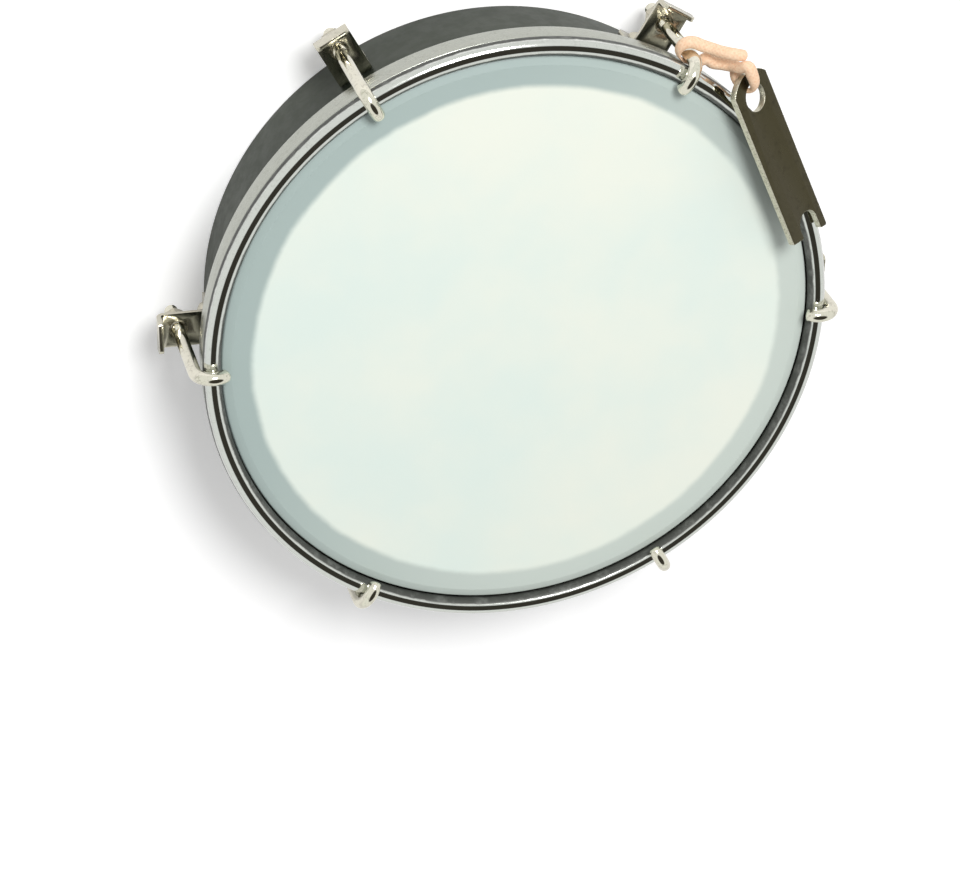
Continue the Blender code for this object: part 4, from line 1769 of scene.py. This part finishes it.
@dataclass(frozen=True)
class Studio:
    """The white floor, the room that the metal mirrors, and the soft lamp.

    The ceiling is the way to the middle of a dark patch in the room. The patch begins where the
    cosine to that way passes ceiling_start, and is fully dark from ceiling_end on.
    """

    floor_radius: float = 2.5
    floor_tone: float = 0.80
    floor_glow: float = 0.23
    sky_strength: float = 0.46
    lamp_azimuth: float = 86.0
    lamp_elevation: float = 55.0
    lamp_distance: float = 1.3
    lamp_size: float = 0.45
    lamp_power: float = 11.3
    ceiling: Triple = (0.16, -0.30, 0.94)
    ceiling_start: float = 0.80
    ceiling_end: float = 0.88
    ceiling_tone: Colour = (0.045, 0.042, 0.033, 1.0)
    wall_tone: Colour = (0.92, 0.94, 0.92, 1.0)
    floor_sides: int = 96
    floor_roughness: float = 0.9

    def floor(self) -> None:
        """A round white floor under the drum, which keeps its shadow."""
        bench = MaterialBench("floor_white", Roughness=self.floor_roughness,
                              Specular_IOR_Level=0.0, Emission_Color=WHITE)
        path = bench.add("ShaderNodeLightPath").outputs
        seen = path["Is Camera Ray"]
        glows = bench.math("MAXIMUM", seen, path["Is Glossy Ray"])
        bench.give(Base_Color=bench.mix(seen, grey(self.floor_tone), WHITE),
                   Emission_Strength=bench.product(glows, self.floor_glow))
        mesh = capped("studio_floor", bmesh.ops.create_circle, segments=self.floor_sides,
                      radius=self.floor_radius)
        piece = dress(linked("studio_floor", mesh), bench.material)

    def room(self) -> None:
        """White to the camera, even light to matt surfaces, and a dark ceiling in the metal."""
        world = bpy.data.worlds.new("studio_room")
        bpy.context.scene.world = world
        world.use_nodes = True
        bench = NodeBench(world.node_tree)
        world.node_tree.nodes.clear()
        path = bench.add("ShaderNodeLightPath").outputs
        direction = bench.add("ShaderNodeTexCoord").outputs["Generated"]
        facing = bench.work("ShaderNodeVectorMath", "DOT_PRODUCT",
                            (direction, Vector(self.ceiling).normalized())).outputs["Value"]
        dark = bench.fade(facing, self.ceiling_start, self.ceiling_end)
        mirrored = bench.mix(dark, self.wall_tone, self.ceiling_tone)
        tone = bench.mix(path["Is Glossy Ray"], grey(self.sky_strength), mirrored)
        tone = bench.mix(path["Is Camera Ray"], tone, WHITE)
        backdrop = bench.add("ShaderNodeBackground", Color=tone, Strength=1.0)
        bench.add("ShaderNodeOutputWorld", Surface=backdrop.outputs[0])

    def lamp(self) -> None:
        """One broad lamp from above the picture."""
        lamp = bpy.data.lights.new("key_lamp", "AREA")
        lamp.energy = self.lamp_power
        lamp.shape = "DISK"
        lamp.size = self.lamp_size
        holder = linked("key_lamp", lamp)
        rise = math.radians(self.lamp_elevation)
        spot = polar(self.lamp_azimuth, self.lamp_distance * math.cos(rise),
                     self.lamp_distance * math.sin(rise))
        holder.location = spot
        holder.rotation_mode = "QUATERNION"
        holder.rotation_quaternion = (-spot).to_track_quat("-Z", "Y")

    def build(self) -> None:
        """Set up the whole studio."""
        self.floor()
        self.room()
        self.lamp()
        bpy.context.scene.view_settings.view_transform = "Standard"


@dataclass(frozen=True)
class PhotoCamera:
    """The camera at the photograph's place, fitted to the rim, the hooks and the brackets."""

    place: Triple = (-0.197006, 0.363391, 0.706843)
    right: Triple = (0.96591151, 0.02298825, 0.25784976)
    up: Triple = (0.10825936, 0.86889787, -0.48300765)
    lens: float = 112.5
    sensor: float = 36.0
    nearest: float = 0.01
    farthest: float = 50.0

    def build(self) -> None:
        """Make the camera and look through it."""
        data = bpy.data.cameras.new("photo_camera")
        data.lens = self.lens
        data.sensor_width = self.sensor
        data.clip_start = self.nearest
        data.clip_end = self.farthest
        holder = linked("photo_camera", data)
        right, up = Vector(self.right), Vector(self.up)
        turn = Matrix((right, up, right.cross(up))).transposed()
        holder.matrix_world = Matrix.Translation(self.place) @ turn.to_4x4()
        bpy.context.scene.camera = holder


def finishes(shop: Workshop, hoops: Hoops) -> dict[str, bpy.types.Material]:
    """Every metal finish of the drum.

    Args:
        shop: The shared groups.
        hoops: The hoops, beside whose rod shade and dark reflection are painted.

    Returns:
        The materials, by name.
    """
    # Painted shade and painted dark reflection on the rod's outer, lower and inner sides; only its
    # top stays clear.
    shade_under_rod = PaintedGrooveShade(ring_radius=hoops.ring_radius, ring_height=hoops.rod_height, middle=-105.0,
                       reach=137.0, amount=0.92, tone=colour(32, 34, 27))
    # Painted shade on the channel's wall top, in the crevice under the rod.
    shade_at_wall_top = PaintedGrooveShade(ring_radius=hoops.outside - hoops.sheet, ring_height=hoops.top, middle=90.0,
                      reach=50.0, amount=0.7, tone=colour(60, 57, 48))
    specs = (
        Metal("rod_chrome", colour(214, 216, 211), colour(150, 148, 138), smooth=0.05, rough=0.11,
              stretch=(60.0, 900.0, 900.0), relief=0.000003, stain_scale=700.0, stain_amount=0.2,
              groove=shade_under_rod),
        Metal("channel_satin", colour(180, 182, 173), colour(128, 127, 116), smooth=0.24,
              rough=0.34, stretch=(90.0, 2600.0, 2600.0), relief=0.000008, stain_scale=500.0,
              stain_amount=0.25, groove=shade_at_wall_top),
        Metal("bracket_nickel", colour(206, 201, 184), colour(104, 97, 74), smooth=0.17,
              rough=0.23, stretch=even(300.0), relief=0.000001, stain_scale=520.0,
              stain_amount=0.25),
        Metal("hook_nickel", colour(226, 222, 206), colour(92, 85, 62), smooth=0.05, rough=0.12,
              stretch=even(700.0), relief=0.000004, stain_scale=520.0, stain_amount=0.35),
        Metal("nut_plate", colour(196, 190, 172), colour(110, 102, 82), smooth=0.22, rough=0.34,
              stretch=even(900.0), relief=0.000012, stain_scale=800.0, stain_amount=0.40),
        Metal("key_face", colour(78, 73, 56), colour(56, 51, 39), smooth=0.26, rough=0.34,
              stretch=even(500.0), relief=0.000006, stain_scale=260.0, stain_amount=0.45),
        Metal("key_sheared_edge", colour(206, 202, 184), colour(96, 90, 72), smooth=0.28,
              rough=0.46, stretch=even(1800.0), relief=0.000040, stain_scale=1300.0,
              stain_amount=0.85),
    )
    return {spec.name: spec.make(shop) for spec in specs}


def main() -> None:
    """Build the camera, the cord and its key, the drum and the studio, in that order."""
    logging.basicConfig(level=logging.INFO, format="%(message)s")
    shop = Workshop()
    trees = {"turned": turned_tree(), "round_drum": round_drum_tree(),
             "threaded_rod": threaded_rod_tree()}
    shell = Shell()
    hoops = Hoops(shell)
    lugs = LugRing(hoops)
    metals = finishes(shop, hoops)
    PhotoCamera().build()
    KeyCord(lugs).build(Sheath().make(shop))
    TuningKey(lugs).build(metals["key_face"], metals["key_sheared_edge"])
    shell.build(trees["turned"], Paint().make(shop))
    hoops.build(trees["turned"], metals["channel_satin"], metals["rod_chrome"])
    Drumhead(hoops).build(trees["turned"], Film().make(shop))
    lugs.build(trees, metals["bracket_nickel"], metals["hook_nickel"], metals["nut_plate"])
    Studio().build()


if __name__ == "__main__":
    main()
